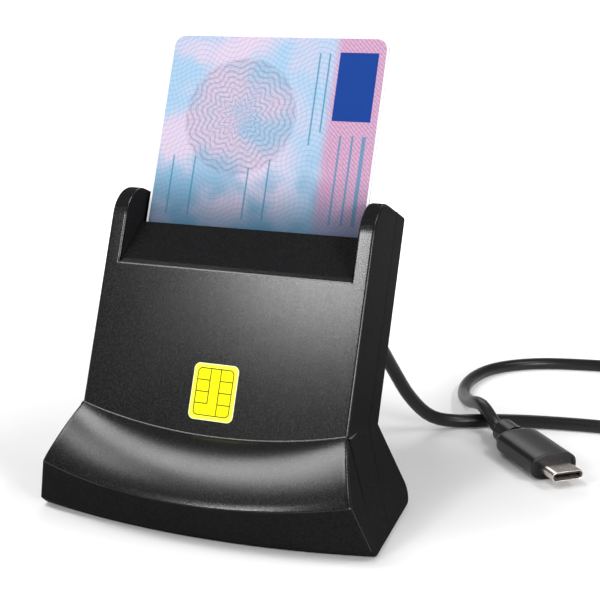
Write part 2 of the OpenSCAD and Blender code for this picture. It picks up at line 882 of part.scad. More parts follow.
// Flange inside the shell, neck through its wall and a grooved taper outside
module strain_relief() {
    step = (boot_l - wall) / boot_grooves;
    color([0.03, 0.03, 0.03]) on_slab() translate([outlet_x, slab_t - wall, outlet_rise])
        rotate([-90, 0, 0]) difference() {
            union() {
                translate([0, 0, -flange_t]) cylinder(r = flange_r, h = flange_t);
                cylinder(d = outlet_neck, h = wall);
                translate([0, 0, wall]) cylinder(d1 = boot_dia, d2 = boot_tip, h = boot_l);
            }
            for (i = [0:boot_grooves - 1]) translate([0, 0, 2 * wall + i * step]) rotate_extrude()
                translate([boot_tip / 2, 0]) square([boot_dia, step / 3]);
        }
}

boot_end = [0, slab_t + boot_l, outlet_rise];
boot_dir = [0, cos(lean), -sin(lean)];
cable_start = [
    outlet_x,
    boot_end[1] * cos(lean) + boot_end[2] * sin(lean) - origin_y,
    boot_end[2] * cos(lean) - boot_end[1] * sin(lean)
];

function unit(v) = v / norm(v);

// Smooth curve through points, with a few steps to each stretch
function curve(p, steps) = [
    for (i = [1:len(p) - 3], k = [0:steps - 1])
    let (f = k / steps)
    let (a = p[i - 1])
    let (b = p[i])
    let (c = p[i + 1])
    let (d = p[i + 2])
    b + (c - a) * f / 2 + (2 * a - 5 * b + 4 * c - d) * f * f / 2
        + (3 * b - a - 3 * c + d) * f * f * f / 2
];

function path_length(p) = len(p) < 2 ? 0 : sum_steps(p, len(p) - 1);
function sum_steps(p, i) = i == 0 ? 0 : norm(p[i] - p[i - 1]) + sum_steps(p, i - 1);

// Points round each place of a path, square to it
function tube_points(p, r, sides, first, last) = [
    for (i = [0:len(p) - 1])
    let (way = i == 0 ? first : i == len(p) - 1 ? last : unit(p[i + 1] - p[i - 1]))
    let (across = unit(cross(way, [0, 0, 1])))
    let (up = cross(across, way))
    for (j = [0:sides - 1])
    let (a = 360 * (j + 0.5) / sides)
    p[i] + r * (across * cos(a) + up * sin(a))
];

module tube(p, r, sides, first, last) {
    polyhedron(
        tube_points(p, r, sides, first, last),
        concat(skin_faces(len(p), sides), cap_faces(len(p), sides))
    );
}

function with_ends(a, b, route, c, d) = concat(
    [a], curve(concat([2 * a - b, a, b], route, [c, d, 2 * d - c]), route_steps), [d]
);

coil_in = [coil_centre[0] - cable_dia, coil_centre[1] - coil_r, floor_z];
coil_out = [coil_centre[0] - cable_dia, coil_centre[1] + coil_r, coil_z];
run_out = with_ends(
    cable_start, cable_start + boot_dir * cable_dia, route_out, coil_in - [cable_dia, 0, 0], coil_in
);
run_back = with_ends(
    coil_out, coil_out - [cable_dia, 0, 0], route_back, plug_tail - plug_dir * cable_dia, plug_tail
);

// The coil's centre line: in on the table, up through a half turn, and out on top
coil_turns = 2 * coil_turns_in + 0.5;
function coil_point(t) =
    let (inward = min(t, coil_turns_in))
    let (outward = max(0, t - coil_turns_in - 0.5))
    let (half = min(1, max(0, (t - coil_turns_in) * 2)))
    let (r = coil_r - turn_pitch * (inward - outward) - coil_dip * sin(180 * half))
    let (a = -90 + 360 * t)
    [
        coil_centre[0] + r * cos(a), coil_centre[1] + r * sin(a),
        mix(floor_z, coil_z, (1 - cos(180 * half)) / 2)
    ];
coil_line = concat(
    [coil_in],
    [for (i = [0:coil_turns * ring_per_turn]) coil_point(i / ring_per_turn)],
    [coil_out]
);

// Least distance between turns that are half a turn or more apart along the coil, less the cable
coil_gap = min([
    for (i = [0:len(coil_line) - 1], j = [i + ring_per_turn / 2:1:len(coil_line) - 1])
    norm(coil_line[i] - coil_line[j])
]) - cable_dia;

module cable_out() {
    color([0.03, 0.03, 0.03]) tube(run_out, cable_dia / 2, cable_sides, boot_dir, [1, 0, 0]);
}

module cable_coil() {
    color([0.03, 0.03, 0.03]) tube(coil_line, cable_dia / 2, coil_sides, [1, 0, 0], [-1, 0, 0]);
}

module cable_back() {
    color([0.03, 0.03, 0.03]) tube(run_back, cable_dia / 2, cable_sides, [-1, 0, 0], plug_dir);
}

// The corner radius that rounds a whole side
function full_round(h) = (h - side_flat) / 2;

// An outline drawn across the plug, swept along it
module along_plug(from, to) {
    translate([from, 0, 0]) rotate([90, 0, 90]) linear_extrude(to - from) children();
}

module plug_neck() {
    color([0.03, 0.03, 0.03]) on_plug() rotate([0, 90, 0]) rotate_extrude() {
        translate([0, neck_round]) square([neck_dia / 2, neck_l - neck_round]);
        square([neck_dia / 2 - neck_round, neck_l]);
        translate([neck_dia / 2 - neck_round, neck_round]) circle(neck_round);
    }
}

module plug_grip() {
    grip_end = neck_l + grip_l;
    color([0.03, 0.03, 0.03]) on_plug() difference() {
        union() {
            along_plug(neck_l + shoulder_l, grip_end) round_rect(grip_w, grip_t, full_round(grip_t));
            hull() {
                along_plug(neck_l + shoulder_l - slice_t, neck_l + shoulder_l)
                    round_rect(grip_w, grip_t, full_round(grip_t));
                along_plug(neck_l, neck_l + slice_t)
                    round_rect(
                        grip_w - 2 * shoulder_in, grip_t - shoulder_in, full_round(grip_t - shoulder_in)
                    );
            }
        }
        along_plug(grip_end - shell_in - peg_gap, grip_end + over)
            round_rect(shell_w + 2 * peg_gap, shell_h + 2 * peg_gap, shell_h / 2);
    }
}

module plug_shell() {
    grip_end = neck_l + grip_l;
    color(steel) on_plug() difference() {
        along_plug(grip_end - shell_in, grip_end + shell_l)
            round_rect(shell_w, shell_h, full_round(shell_h));
        along_plug(grip_end - shell_in + shell_wall, grip_end + shell_l + over)
            round_rect(
                shell_w - 2 * shell_wall, shell_h - 2 * shell_wall, full_round(shell_h) - shell_wall
            );
    }
}

module plug_insert() {
    grip_end = neck_l + grip_l;
    color([0.02, 0.02, 0.02]) on_plug() difference() {
        along_plug(grip_end - shell_in + shell_wall + peg_gap, grip_end + shell_l - shell_wall)
            round_rect(insert_size[0], insert_size[1], full_round(insert_size[1]));
        along_plug(grip_end + shell_l - insert_depth, grip_end + shell_l + over)
            square(insert_mouth, center = true);
    }
}

module plug_contacts() {
    grip_end = neck_l + grip_l;
    color([0.83, 0.66, 0.28]) on_plug() for (i = [0:pins - 1], k = [-1, 1])
        translate([
            grip_end + shell_l - insert_depth, (i - (pins - 1) / 2) * pin_pitch,
            k * (insert_mouth[1] / 2 - pin_t / 2)
        ])
            translate([0, -pin_w / 2, -pin_t / 2]) cube([insert_depth - 3 * shell_wall, pin_w, pin_t]);
}

// Card

module card_plate(w, h, t, r) {
    rotate([90, 0, 0]) mirror([0, 0, 1]) linear_extrude(t) round_rect(w, h, r);
}

module smart_card() {
    color([0.78, 0.78, 0.86]) on_slab() difference() {
        translate([0, card_set, card_seat + card_h / 2]) card_plate(card_w, card_h, card_t, card_r);
        translate([chip_off, card_set + card_t - chip_t, card_seat + chip_rise])
            card_plate(chip_w, chip_h, over, chip_r);
    }
}

module card_contact_plate() {
    color([0.85, 0.7, 0.35]) on_slab()
        translate([chip_off, card_set + card_t - chip_t, card_seat + chip_rise])
            card_plate(chip_w, chip_h, chip_t, chip_r);
}

echo(cable_length = path_length(run_out) + path_length(coil_line) + path_length(run_back));
echo(runs = [path_length(run_out), path_length(coil_line), path_length(run_back)]);
echo(coil_gap = coil_gap);
echo(origin_y = origin_y, cable_start = cable_start);

front_shell();
rear_shell();
base_cover();
base_weight();
rubber_feet();
base_screws();
contact_badge();
circuit_board();
board_screws();
controller_chip();
memory_chip();
crystal();
capacitors();
contact_carrier();
contact_springs();
card_cradle();
switch_housing();
switch_plunger();
cable_header();
inner_wires();
strain_relief();
cable_out();
cable_coil();
cable_back();
plug_neck();
plug_grip();
plug_shell();
plug_insert();
plug_contacts();
smart_card();
card_contact_plate();
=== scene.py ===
import json
import math

import bmesh
import bpy
import numpy as np
from mathutils import Matrix, Vector


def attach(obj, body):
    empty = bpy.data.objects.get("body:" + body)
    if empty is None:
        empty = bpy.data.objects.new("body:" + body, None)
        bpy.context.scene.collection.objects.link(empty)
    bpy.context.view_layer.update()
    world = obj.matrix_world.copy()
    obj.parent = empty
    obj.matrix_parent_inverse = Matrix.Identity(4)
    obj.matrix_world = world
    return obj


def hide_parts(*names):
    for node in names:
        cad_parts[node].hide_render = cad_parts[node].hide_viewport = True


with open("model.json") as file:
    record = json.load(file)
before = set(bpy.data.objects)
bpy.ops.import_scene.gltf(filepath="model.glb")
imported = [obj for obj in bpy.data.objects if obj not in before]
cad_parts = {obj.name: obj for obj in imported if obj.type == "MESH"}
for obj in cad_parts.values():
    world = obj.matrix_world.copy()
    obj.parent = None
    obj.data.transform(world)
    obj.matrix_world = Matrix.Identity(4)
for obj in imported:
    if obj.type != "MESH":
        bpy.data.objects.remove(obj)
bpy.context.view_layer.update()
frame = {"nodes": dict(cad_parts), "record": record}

mm = 0.001

# Camera

camera = {
    "place": (0.11561, -0.25163, 0.11779),
    "turn": 21.6,   # degrees to the right of straight ahead
    "tilt": 14.22,  # degrees above the table
    "lens": 76.83,
    "sensor": 36.0,
    "clip": (0.01, 20),
}


def makeCamera(s):
    # looks along (-sin turn cos tilt, cos turn cos tilt, -sin tilt), level across the picture
    turn, tilt = math.radians(s["turn"]), math.radians(s["tilt"])
    forward = Vector((
        -math.sin(turn) * math.cos(tilt), math.cos(turn) * math.cos(tilt), -math.sin(tilt)))
    data = bpy.data.cameras.new("camera")
    data.lens, data.sensor_width = s["lens"], s["sensor"]
    data.clip_start, data.clip_end = s["clip"]
    cam = bpy.data.objects.new("camera", data)
    cam.location = s["place"]
    cam.rotation_mode = "QUATERNION"
    cam.rotation_quaternion = forward.to_track_quat("-Z", "Y")
    bpy.context.scene.collection.objects.link(cam)
    bpy.context.scene.camera = cam


makeCamera(camera)
print("camera is set")

# Mesh helpers


def meshFrom(name, points, faces, smooth=True):
    # a mesh object at the origin from points in metres and lists of point numbers
    mesh = bpy.data.meshes.new(name)
    mesh.from_pydata(points.reshape(-1, 3).tolist(), [], faces)
    mesh.validate()
    if smooth:
        mesh.shade_smooth()
    piece = bpy.data.objects.new(name, mesh)
    bpy.context.scene.collection.objects.link(piece)
    return piece


def gridFaces(rows, cols, loop=True):
    # quads between neighbouring rows of points; with loop, the last column joins the first
    count = cols if loop else cols - 1
    i, j = np.meshgrid(np.arange(rows - 1), np.arange(count), indexing="ij")
    k = (j + 1) % cols
    quads = np.stack([i * cols + j, i * cols + k, (i + 1) * cols + k, (i + 1) * cols + j], -1)
    return quads.reshape(-1, 4).tolist()


tiny = 2e-6  # points closer than this are one, in metres


def outward(piece):
    # merges doubles, then turns every face of the closed mesh outwards
    bm = bmesh.new()
    bm.from_mesh(piece.data)
    bmesh.ops.remove_doubles(bm, verts=bm.verts, dist=tiny)
    bmesh.ops.dissolve_degenerate(bm, edges=bm.edges, dist=tiny)
    bmesh.ops.recalc_face_normals(bm, faces=bm.faces)
    bm.to_mesh(piece.data)
    bm.free()
    return piece


def closedLoft(name, rings):
    # rings (rings, points, 3) joined by quads, closed by a flat face at each end, faces outwards
    rows, cols = rings.shape[:2]
    faces = gridFaces(rows, cols)
    faces.append(list(range(cols))[::-1])
    faces.append(list(range((rows - 1) * cols, rows * cols)))
    return outward(meshFrom(name, rings, faces))


def shownMesh(piece):
    # the mesh with its modifiers applied, put back on the piece
    graph = bpy.context.evaluated_depsgraph_get()
    mesh = bpy.data.meshes.new_from_object(piece.evaluated_get(graph))
    piece.modifiers.clear()
    piece.data = mesh
    return piece


def cut(piece, other, how="DIFFERENCE"):
    # joins, cuts or crosses a closed mesh with another, which is then removed
    m = piece.modifiers.new("cut", "BOOLEAN")
    m.operation, m.solver, m.object = how, "EXACT", other
    shownMesh(piece)
    bpy.data.objects.remove(other)
    return piece


def sharpen(piece, angle):
    # smooth faces with sharp edges past an angle, and normals that keep large faces flat
    piece.data.shade_smooth()
    piece.data.set_sharp_from_angle(angle=math.radians(angle))
    m = piece.modifiers.new("normals", "WEIGHTED_NORMAL")
    m.keep_sharp = True
    m.weight = 80
    return shownMesh(piece)


# Cord: the same route as in the part's source, in millimetres

cord = {
    "diameter": 3.5,
    "lean": 21.8,
    "start": (12, 30.1867, 43.454),
    "out": [
        (13, 36.5, 40), (15.5, 41.5, 35), (18.5, 46.5, 28), (21.5, 51, 19.5), (25, 56, 10.5),
        (29.5, 61.5, 4), (36, 67, 1.75), (45, 71, 1.75), (56, 74, 1.75), (69, 76, 1.75),
        (84, 77, 1.75),
    ],
    "centre": (104, 105), "radius": 28,
    "turnsIn": 3.5, "pitch": 4.1, "dip": 0.8, "perTurn": 24,
    "back": [
        (92, 133, 4.6), (83, 133, 2.6), (72, 132.5, 1.75), (59, 131, 1.75), (44, 126.5, 1.75),
        (33.5, 117, 1.75), (29.5, 104, 1.75), (30.5, 91, 1.75), (35, 79.5, 3.4), (41, 69.8, 5.9),
    ],
    "tail": (48.7, 60.3, 3.3),
    "yaw": -50,
    "steps": 4, "sides": 20, "endSharp": 50,
    "length": 1.227,  # metres, measured along the route
}


def coilPoints(s):
    # winds in on the table, climbs in a half turn where it reverses, and winds out on top
    turns = 2 * s["turnsIn"] + 0.5
    t = np.arange(int(turns * s["perTurn"]) + 1) / s["perTurn"]
    inward = np.minimum(t, s["turnsIn"])
    outward = np.maximum(0, t - s["turnsIn"] - 0.5)
    half = np.clip((t - s["turnsIn"]) * 2, 0, 1)
    r = s["radius"] - s["pitch"] * (inward - outward) - s["dip"] * np.sin(np.pi * half)
    a = np.radians(-90 + 360 * t)
    z = s["diameter"] / 2 + s["pitch"] * (1 - np.cos(np.pi * half)) / 2
    return np.stack([s["centre"][0] + r * np.cos(a), s["centre"][1] + r * np.sin(a), z], 1)


def cordPoints(s):
    # straight out of the sleeve, down to the table, through the coil and back to the plug
    d, lean, yaw = s["diameter"], math.radians(s["lean"]), math.radians(s["yaw"])
    start = np.array(s["start"], float)
    down = np.array([0, math.cos(lean), -math.sin(lean)])
    coil = coilPoints(s)
    inPoint = np.array([s["centre"][0] - d, s["centre"][1] - s["radius"], d / 2])
    outPoint = np.array([s["centre"][0] - d, s["centre"][1] + s["radius"], d / 2 + s["pitch"]])
    step = np.array([d, 0, 0])
    tail = np.array(s["tail"], float)
    plugWay = np.array([math.cos(yaw), math.sin(yaw), 0])
    return np.vstack([
        start, start + down * d, np.array(s["out"], float), inPoint - step, inPoint,
        coil, outPoint, outPoint - step, np.array(s["back"], float), tail - plugWay * d, tail])


def smoothPath(points, steps):
    # a cubic stretch from each point to the next, along the line through a point's neighbours
    gap = np.linalg.norm(np.diff(points, axis=0), axis=1)[:, None, None]
    way = np.gradient(points, axis=0)
    way /= np.linalg.norm(way, axis=1)[:, None]
    t = (np.arange(steps) / steps)[None, :, None]
    a, b = points[:-1, None], points[1:, None]
    leave, reach = way[:-1, None] * gap, way[1:, None] * gap
    rows = ((2 * t**3 - 3 * t**2 + 1) * a + (t**3 - 2 * t**2 + t) * leave
            + (3 * t**2 - 2 * t**3) * b + (t**3 - t**2) * reach)
    return np.vstack([rows.reshape(-1, 3), points[-1:]])


def makeCord(name, s):
    # circles of the cord's radius, each square to the path, joined into one closed tube
    path = smoothPath(cordPoints(s), s["steps"]) * mm
    path[:, 2] = np.maximum(path[:, 2], s["diameter"] / 2 * mm)
    way = np.gradient(path, axis=0)
    way /= np.linalg.norm(way, axis=1)[:, None]
    side = np.cross(way, [0, 0, 1.0])
    side /= np.linalg.norm(side, axis=1)[:, None]
    up = np.cross(side, way)
    a = np.linspace(0, 2 * math.pi, s["sides"], endpoint=False)[None, :, None]
    r = s["diameter"] / 2 * mm
    rings = path[:, None] + r * (np.cos(a) * side[:, None] + np.sin(a) * up[:, None])
    piece = closedLoft(name, rings)
    piece.data.set_sharp_from_angle(angle=math.radians(s["endSharp"]))
    return piece, path


cable, cablePath = makeCord("cable", cord)
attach(cable, "reader")
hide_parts("cable_out", "cable_coil", "cable_back")
print("cable is laid")

# Shells, in the slab's own frame: x across, d behind the front face, s up the slab

shell = {
    "lean": 21.8, "originY": 22.7354,
    "halfW": 31.9, "deep": 21.0, "top": 77.5, "earRound": 7.6,
    "lip": 58.6, "slot": 70.3, "throat": 28.1, "slotFront": 7.65, "slotBack": 8.91,
    "seam": 14.1, "gap": 0.22, "low": 16.0, "rearLow": 22.0,
    "tongueLow": 66.3, "tongueTop": 76.3, "tongueGap": 0.15, "underGap": 0.3,
    "outerRound": 0.7, "innerRound": 0.55, "rearInnerRound": 0.02,
    "lipRound": 0.1, "lipTurn": 23.2, "lipWide": 0.36, "lipRow": 0.5, "earRow": 0.33, "earMid": 72,
    "earShares": (0, 0.035, 0.08, 0.2, 0.55, 0.92), "earEase": 0.6, "throatRow": 0.5,
    "slotRound": 0.3, "seamRound": 0.15, "backRound": 0.9,
    "lapLow": 6.4, "lapBend": 28.8, "lapDeep": 0.75, "lapThick": 0.6,
    "lapRoot": 1, "lapReach": 0.8, "lapPlay": 0.08,
    "lipPoints": 3, "slotPoints": 6, "earPoints": 10, "tonguePoints": 4, "tongueRows": 7,
    "seamPoints": 6, "backPoints": 8, "innerPoints": 6, "outerPoints": 8, "throatPoints": 12,
    "sharp": 16,
}


def fromSlab(x, d, s):
    # y = d cos lean + s sin lean - originY, z = s cos lean - d sin lean, in metres
    a = math.radians(shell["lean"])
    y = d * math.cos(a) + s * math.sin(a) - shell["originY"]
    z = s * math.cos(a) - d * math.sin(a)
    return np.stack(np.broadcast_arrays(x, y, z), -1) * mm


def fromTable(x, y, z):
    # y counts from where the slab's front face would meet the table
    return np.stack(np.broadcast_arrays(x, y - shell["originY"], z), -1) * mm


def line(a, b, n=2, share=None):
    # a + (b - a) t, at n even steps or at the given shares of the way
    t = np.linspace(0, 1, n) if share is None else np.asarray(share, float)
    return np.asarray(a, float) + (np.asarray(b, float) - np.asarray(a, float)) * t[:, None]


def arc(centre, r, first, last, n):
    # centre + r (cos a, sin a), from the first angle to the last
    a = np.radians(np.linspace(first, last, n))
    return np.stack([centre[0] + r * np.cos(a), centre[1] + r * np.sin(a)], 1)


def corner(p, a, b, r, n):
    # a round corner at p between the lines towards a and b
    p, a, b = (np.asarray(v, float) for v in (p, a, b))
    u = (a - p) / np.linalg.norm(a - p)
    v = (b - p) / np.linalg.norm(b - p)
    half = math.acos(np.clip(u @ v, -1, 1)) / 2
    centre = p + (u + v) / np.linalg.norm(u + v) * r / math.sin(half)
    t = np.linspace(0, 1, n)[:, None]
    first = p + u * r / math.tan(half) - centre
    last = p + v * r / math.tan(half) - centre
    w = math.pi - 2 * half
    return centre + (np.sin((1 - t) * w) * first + np.sin(t * w) * last) / math.sin(w)


def frontOutlines(s):
    # outlines (depth, rise) of the front shell between the ears, and at an ear
    back = s["seam"] - s["gap"] / 2
    lip, slot, low = (0, s["lip"]), (s["slotFront"], s["slot"]), s["low"]
    under = (s["slotFront"], s["tongueLow"] - s["underGap"])
    row = (0, s["lip"] - s["lipRow"])
    # a narrow bevel between the front face and the throat's slope
    turn = math.radians(s["lipTurn"])
    bevelLow = (0, s["lip"] - s["lipWide"] * math.cos(turn))
    bevelHigh = (s["lipWide"] * math.sin(turn), s["lip"])
    lipCurve = np.vstack([
        corner(bevelLow, (0, 0), bevelHigh, s["lipRound"], s["lipPoints"]),
        corner(bevelHigh, bevelLow, slot, s["lipRound"], s["lipPoints"])])
    slotCurve = corner(slot, lip, under, s["slotRound"], s["slotPoints"])
    middle = np.vstack([
        [(0, low)], [row], lipCurve,
        line(lipCurve[-1], slotCurve[0], s["throatPoints"])[1:-1], slotCurve,
        [under], [(back, under[1])], [(back, low)]])
    r = s["earRound"]
    topCurve = corner(
        (back, s["top"]), (0, s["top"]), (back, 0), s["seamRound"], s["seamPoints"])
    front = s["top"] - r
    face = line((0, s["lip"] - s["earRow"]), (0, front), share=s["earShares"])
    bend = arc((r, front), r, 180, 90, s["earPoints"])
    ear = np.vstack([
        [(0, low)], [row], face, bend, topCurve,
        [(back, s["earMid"])], [(back, under[1])], [(back, low)]])
    # the inward direction of each of its points, used to round the ear's edges
    first = 2 + len(face)
    last = first + len(bend)
    way = np.zeros_like(ear)
    way[:first] = (1, 0)
    a = np.radians(np.linspace(180, 90, len(bend)))
    way[first:last] = -np.stack([np.cos(a), np.sin(a)], 1)
    way[last:last + len(topCurve)] = (0, -1)
    # on the inner side the rounding fades in above the lip
    inner = way.copy()
    inner[:3] = 0
    inner[3] *= s["earEase"]
    return middle, ear, way, inner


def slabRings(s, middle, ear, outer, inner, throat):
    # stations across x: the middle, the ear's inner round, and the outer round at the side
    ri, ro = s["innerRound"], s["outerRound"]
    a = np.radians(np.linspace(0, 90, s["innerPoints"]))
    b = np.radians(np.linspace(0, 90, s["outerPoints"]))
    xs = [0.0, throat / 2, throat - s["throatRow"], throat]
    rings = [middle] * 4
    for x, k in zip(throat + ri * (1 - np.cos(a)), ri * (1 - np.sin(a))):
        xs.append(x)
        rings.append(ear + inner * k)
    for x, k in zip(s["halfW"] - ro * (1 - np.sin(b)), ro * (1 - np.cos(b))):
        xs.append(x)
        rings.append(ear + outer * k)
    xs, rings = np.array(xs), np.array(rings)
    xs = np.concatenate([-xs[:0:-1], xs])
    rings = np.concatenate([rings[:0:-1], rings])
    return fromSlab(xs[:, None], rings[..., 0], rings[..., 1])


def rearOutlines(s):
    # outlines of the rear shell: with the tongue behind the card, and at an ear
    front = s["seam"] + s["gap"] / 2
    back, top, low = s["deep"], s["top"], s["rearLow"]
    tongueLow = s["tongueLow"] + s["tongueGap"]
    seamEdge = [(front, top - s["seamRound"]), (front + s["seamRound"], top)]
    backCurve = corner((back, top), (front, top), (back, 0), s["backRound"], s["backPoints"])
    tongue = corner(
        (s["slotBack"], s["tongueTop"]), (s["slotBack"], 0), (front, s["tongueTop"]),
        s["slotRound"], s["tonguePoints"])
    middle = np.vstack([
        [(front, low)], [(front, tongueLow)], [(s["slotBack"], tongueLow)], tongue,
        [(front, s["tongueTop"])], seamEdge, backCurve, [(back, low)]])
    seam = line((front, tongueLow), (front, s["tongueTop"]), s["tongueRows"])
    ear = np.vstack([[(front, low)], seam, seamEdge, backCurve, [(back, low)]])
    way = np.zeros_like(ear)
    bend = 1 + len(seam) + len(seamEdge)
    way[bend - 1] = (0, -1)
    a = np.radians(np.linspace(90, 0, len(backCurve)))
    way[bend:-1] = -np.stack([np.cos(a), np.sin(a)], 1)
    way[-1] = (-1, 0)
    return middle, ear, way


# Foot: the same edges as in the part's source, with rounded creases

foot = {
    "half": 41.0, "flare": 19.0, "taper": 4.1,
    "browZ": 24.2, "browDip": 3.7, "buried": 1.5,
    "beadOut": 0.12, "beadHigh": 0.22, "beadWide": 0.34, "beadTilt": 48, "beadRound": 0.1,
    "crownTop": 74.4, "topFall": 13.9, "topPull": 0.264, "crownNear": 0.3, "crownEnd": 0.9,
    "crownLow": 29.8, "lowFall": 10, "lowPull": 0.211,
    "creaseZ": 13.0, "creaseDip": 3.1, "creaseY": 0.9, "creaseBow": 4.6,
    "skirtZ": 2.3, "skirtY": 2.6, "skirtBow": 4.6, "soleY": 5.1, "soleBow": 5.4, "soleZ": 0.4,
    "heelReach": 7.6, "heelR": 3.5, "kneeZ": 20.2, "kneeReach": 3,
    "creaseRound": 0.8, "skirtRound": 0.7, "soleRound": 0.7, "sideRound": 0.8,
    "across": 48, "bowHalf": 38.0,
    "beadPoints": 5, "nearPoints": 40, "crownPoints": 25, "creasePoints": 8, "skirtPoints": 5,
    "solePoints": 5, "heelPoints": 11, "sidePoints": 7,
}


def sideX(s, y, z):
    # the half width, which shrinks with height (flare) and with depth (taper)
    return (s["half"] - z * math.tan(math.radians(s["flare"]))
            - y * math.tan(math.radians(s["taper"])))


def faceWay(elevation):
    # the way a surface faces, and the way down along it, for its tilt up from straight ahead
    a = math.radians(elevation)
    return np.array([-math.cos(a), math.sin(a)]), np.array([-math.sin(a), -math.cos(a)])


def crownCurve(s, top, crease, u, t):
    # a Bezier curve that leaves the top nearly level and meets the crease much steeper
    length = np.linalg.norm(crease - top)
    leave = top + faceWay(s["crownTop"] - s["topFall"] * u * u)[1] * s["topPull"] * length
    reach = crease - faceWay(s["crownLow"] - s["lowFall"] * u * u)[1] * s["lowPull"] * length
    t = t[:, None]
    return ((1 - t) ** 3 * top + 3 * (1 - t) ** 2 * t * leave
            + 3 * (1 - t) * t * t * reach + t ** 3 * crease)


def footOutline(s, u):
    # the foot's outline (y, z) at u, -1 to 1 across it: crown, crease, skirt, sole, heel, knee
    bow = 1 - u * u
    lean = math.radians(shell["lean"])
    proud, downSlab = faceWay(shell["lean"])
    browZ = s["browZ"] - s["browDip"] * bow
    brow = np.array([browZ * math.tan(lean), browZ])
    crease = np.array([-s["creaseY"] - s["creaseBow"] * bow, s["creaseZ"] - s["creaseDip"] * bow])
    # a fine raised bead closes the crown's top edge against the slab
    r = s["beadRound"]
    top = brow + proud * s["beadOut"] - downSlab * s["beadHigh"]
    edge = top + faceWay(s["beadTilt"])[1] * s["beadWide"]
    buried = brow - proud * s["buried"] - downSlab * s["beadHigh"]
    bead = np.vstack([corner(top, buried, edge, r, s["beadPoints"]),
                      corner(edge, top, edge - [0, 1], r, s["beadPoints"])])
    # the crown's curve starts where the bead ends
    near = np.linspace(0, s["crownNear"], s["nearPoints"])
    start = np.interp(-bead[-1, 0], -crownCurve(s, brow, crease, u, near)[:, 0], near)
    share = np.linspace(start, s["crownEnd"], s["crownPoints"])
    crown = crownCurve(s, brow, crease, u, share)
    skirt = np.array([s["skirtY"] - s["skirtBow"] * bow, s["skirtZ"]])
    sole = np.array([s["soleY"] - s["soleBow"] * bow, s["soleZ"]])
    kneeY = s["kneeZ"] * math.tan(lean) + shell["deep"] / math.cos(lean)
    run = np.array([s["heelReach"], -s["kneeZ"]])
    heel = np.array([kneeY + s["heelReach"] * (1 - s["soleZ"] / s["kneeZ"]), s["soleZ"]])
    knee = np.array([kneeY, s["kneeZ"]]) - run / np.linalg.norm(run) * s["kneeReach"]
    return np.vstack([
        [buried], bead, crown,
        corner(crease, crown[-1], skirt, s["creaseRound"], s["creasePoints"]),
        corner(skirt, crease, sole, s["skirtRound"], s["skirtPoints"]),
        corner(sole, skirt, heel, s["soleRound"], s["solePoints"]),
        corner(heel, sole, knee, s["heelR"], s["heelPoints"]), [knee]])


def outlineWays(p):
    # for each point of a closed outline, the inward direction square to it
    way = np.roll(p, -1, 0) - np.roll(p, 1, 0)
    way /= np.linalg.norm(way, axis=1)[:, None]
    side = np.stack([-way[:, 1], way[:, 0]], 1)
    area = np.sum(p[:, 0] * np.roll(p[:, 1], -1) - np.roll(p[:, 0], -1) * p[:, 1])
    return side if area > 0 else -side


def makeFoot(name, s):
    # outlines carried across, with the last few drawn inwards to round the edge at each side
    r = s["sideRound"]
    b = np.radians(np.linspace(0, 90, s["sidePoints"]))
    rings = []
    flat = np.linspace(-1, 1, s["across"] + 1)
    ends = [(r * (1 - math.sin(t)), r * (1 - math.cos(t))) for t in b]
    plan = [(-1, e) for e in ends[::-1]] + [(u, None) for u in flat[1:-1]] + [(1, e) for e in ends]
    for u, end in plan:
        back = 0 if end is None else end[0]
        w = u if end is None else math.copysign(1 - back / s["bowHalf"], u)
        p = footOutline(s, w)
        if end is not None and end[1] > 0:
            p = p + outlineWays(p) * end[1]
        x = w * sideX(s, p[:, 0], p[:, 1])
        rings.append(fromTable(x, p[:, 0], p[:, 1]))
    return closedLoft(name, np.array(rings))


def slabPrism(name, outline, half):
    # an outline in depth and rise, carried from one side to the other
    xs = np.array([-half, half])
    rings = fromSlab(xs[:, None], outline[None, :, 0], outline[None, :, 1])
    return closedLoft(name, rings)


# The space inside: walls for the slab, and an outline (y, z) for the foot

hollow = {
    "wall": 2.0, "low": 13.5, "shelf": 64.3,
    "foot": [(6.5, 2.8), (2.0, 11.0), (10.32, 17.4), (28.7, 17.4), (34.25, 2.8)],
    "footBack": 38.3, "soleBack": 34.9, "soleFrom": -1.0, "soleTo": 3.0,
    "across": 33,
}


def hollowPieces(h):
    # the space inside both shells: in the slab, in the foot, and over the base cover
    s, f, wall = shell, foot, h["wall"]
    across, up = s["slotFront"], s["slot"] - s["lip"]
    slope = up / across
    low = s["lip"] - wall * math.hypot(across, up) / across + wall * slope
    slab = np.array([
        (wall, h["low"]), (wall, low), (across, low + (across - wall) * slope),
        (across, s["tongueLow"]), (s["seam"], s["tongueLow"]), (s["seam"], h["shelf"]),
        (s["deep"] - wall, h["shelf"]), (s["deep"] - wall, h["low"])])
    inSlab = slabPrism("hollowSlab", slab, s["halfW"] - wall)
    outline = np.array(h["foot"])
    half = sideX(f, h["footBack"], outline[:, 1]) - wall
    ends = np.array([-1.0, 1.0])[:, None]
    inFoot = closedLoft("hollowFoot", fromTable(ends * half, outline[:, 0], outline[:, 1]))
    u = np.linspace(-1, 1, h["across"])
    halfSole = sideX(f, f["soleY"], f["soleZ"]) - wall
    front = np.stack([u * halfSole, f["soleY"] + wall - f["soleBow"] * (1 - u * u)], 1)
    backX = sideX(f, h["soleBack"], f["soleZ"]) - wall
    sole = np.vstack([front, [(backX, h["soleBack"]), (-backX, h["soleBack"])]])
    levels = np.array([h["soleFrom"], h["soleTo"]])[:, None]
    inSole = closedLoft("hollowSole", fromTable(sole[:, 0], sole[:, 1], levels))
    return [inSlab, inFoot, inSole]


block = {"half": 60, "low": -60, "high": 120, "ahead": -60, "behind": 90}


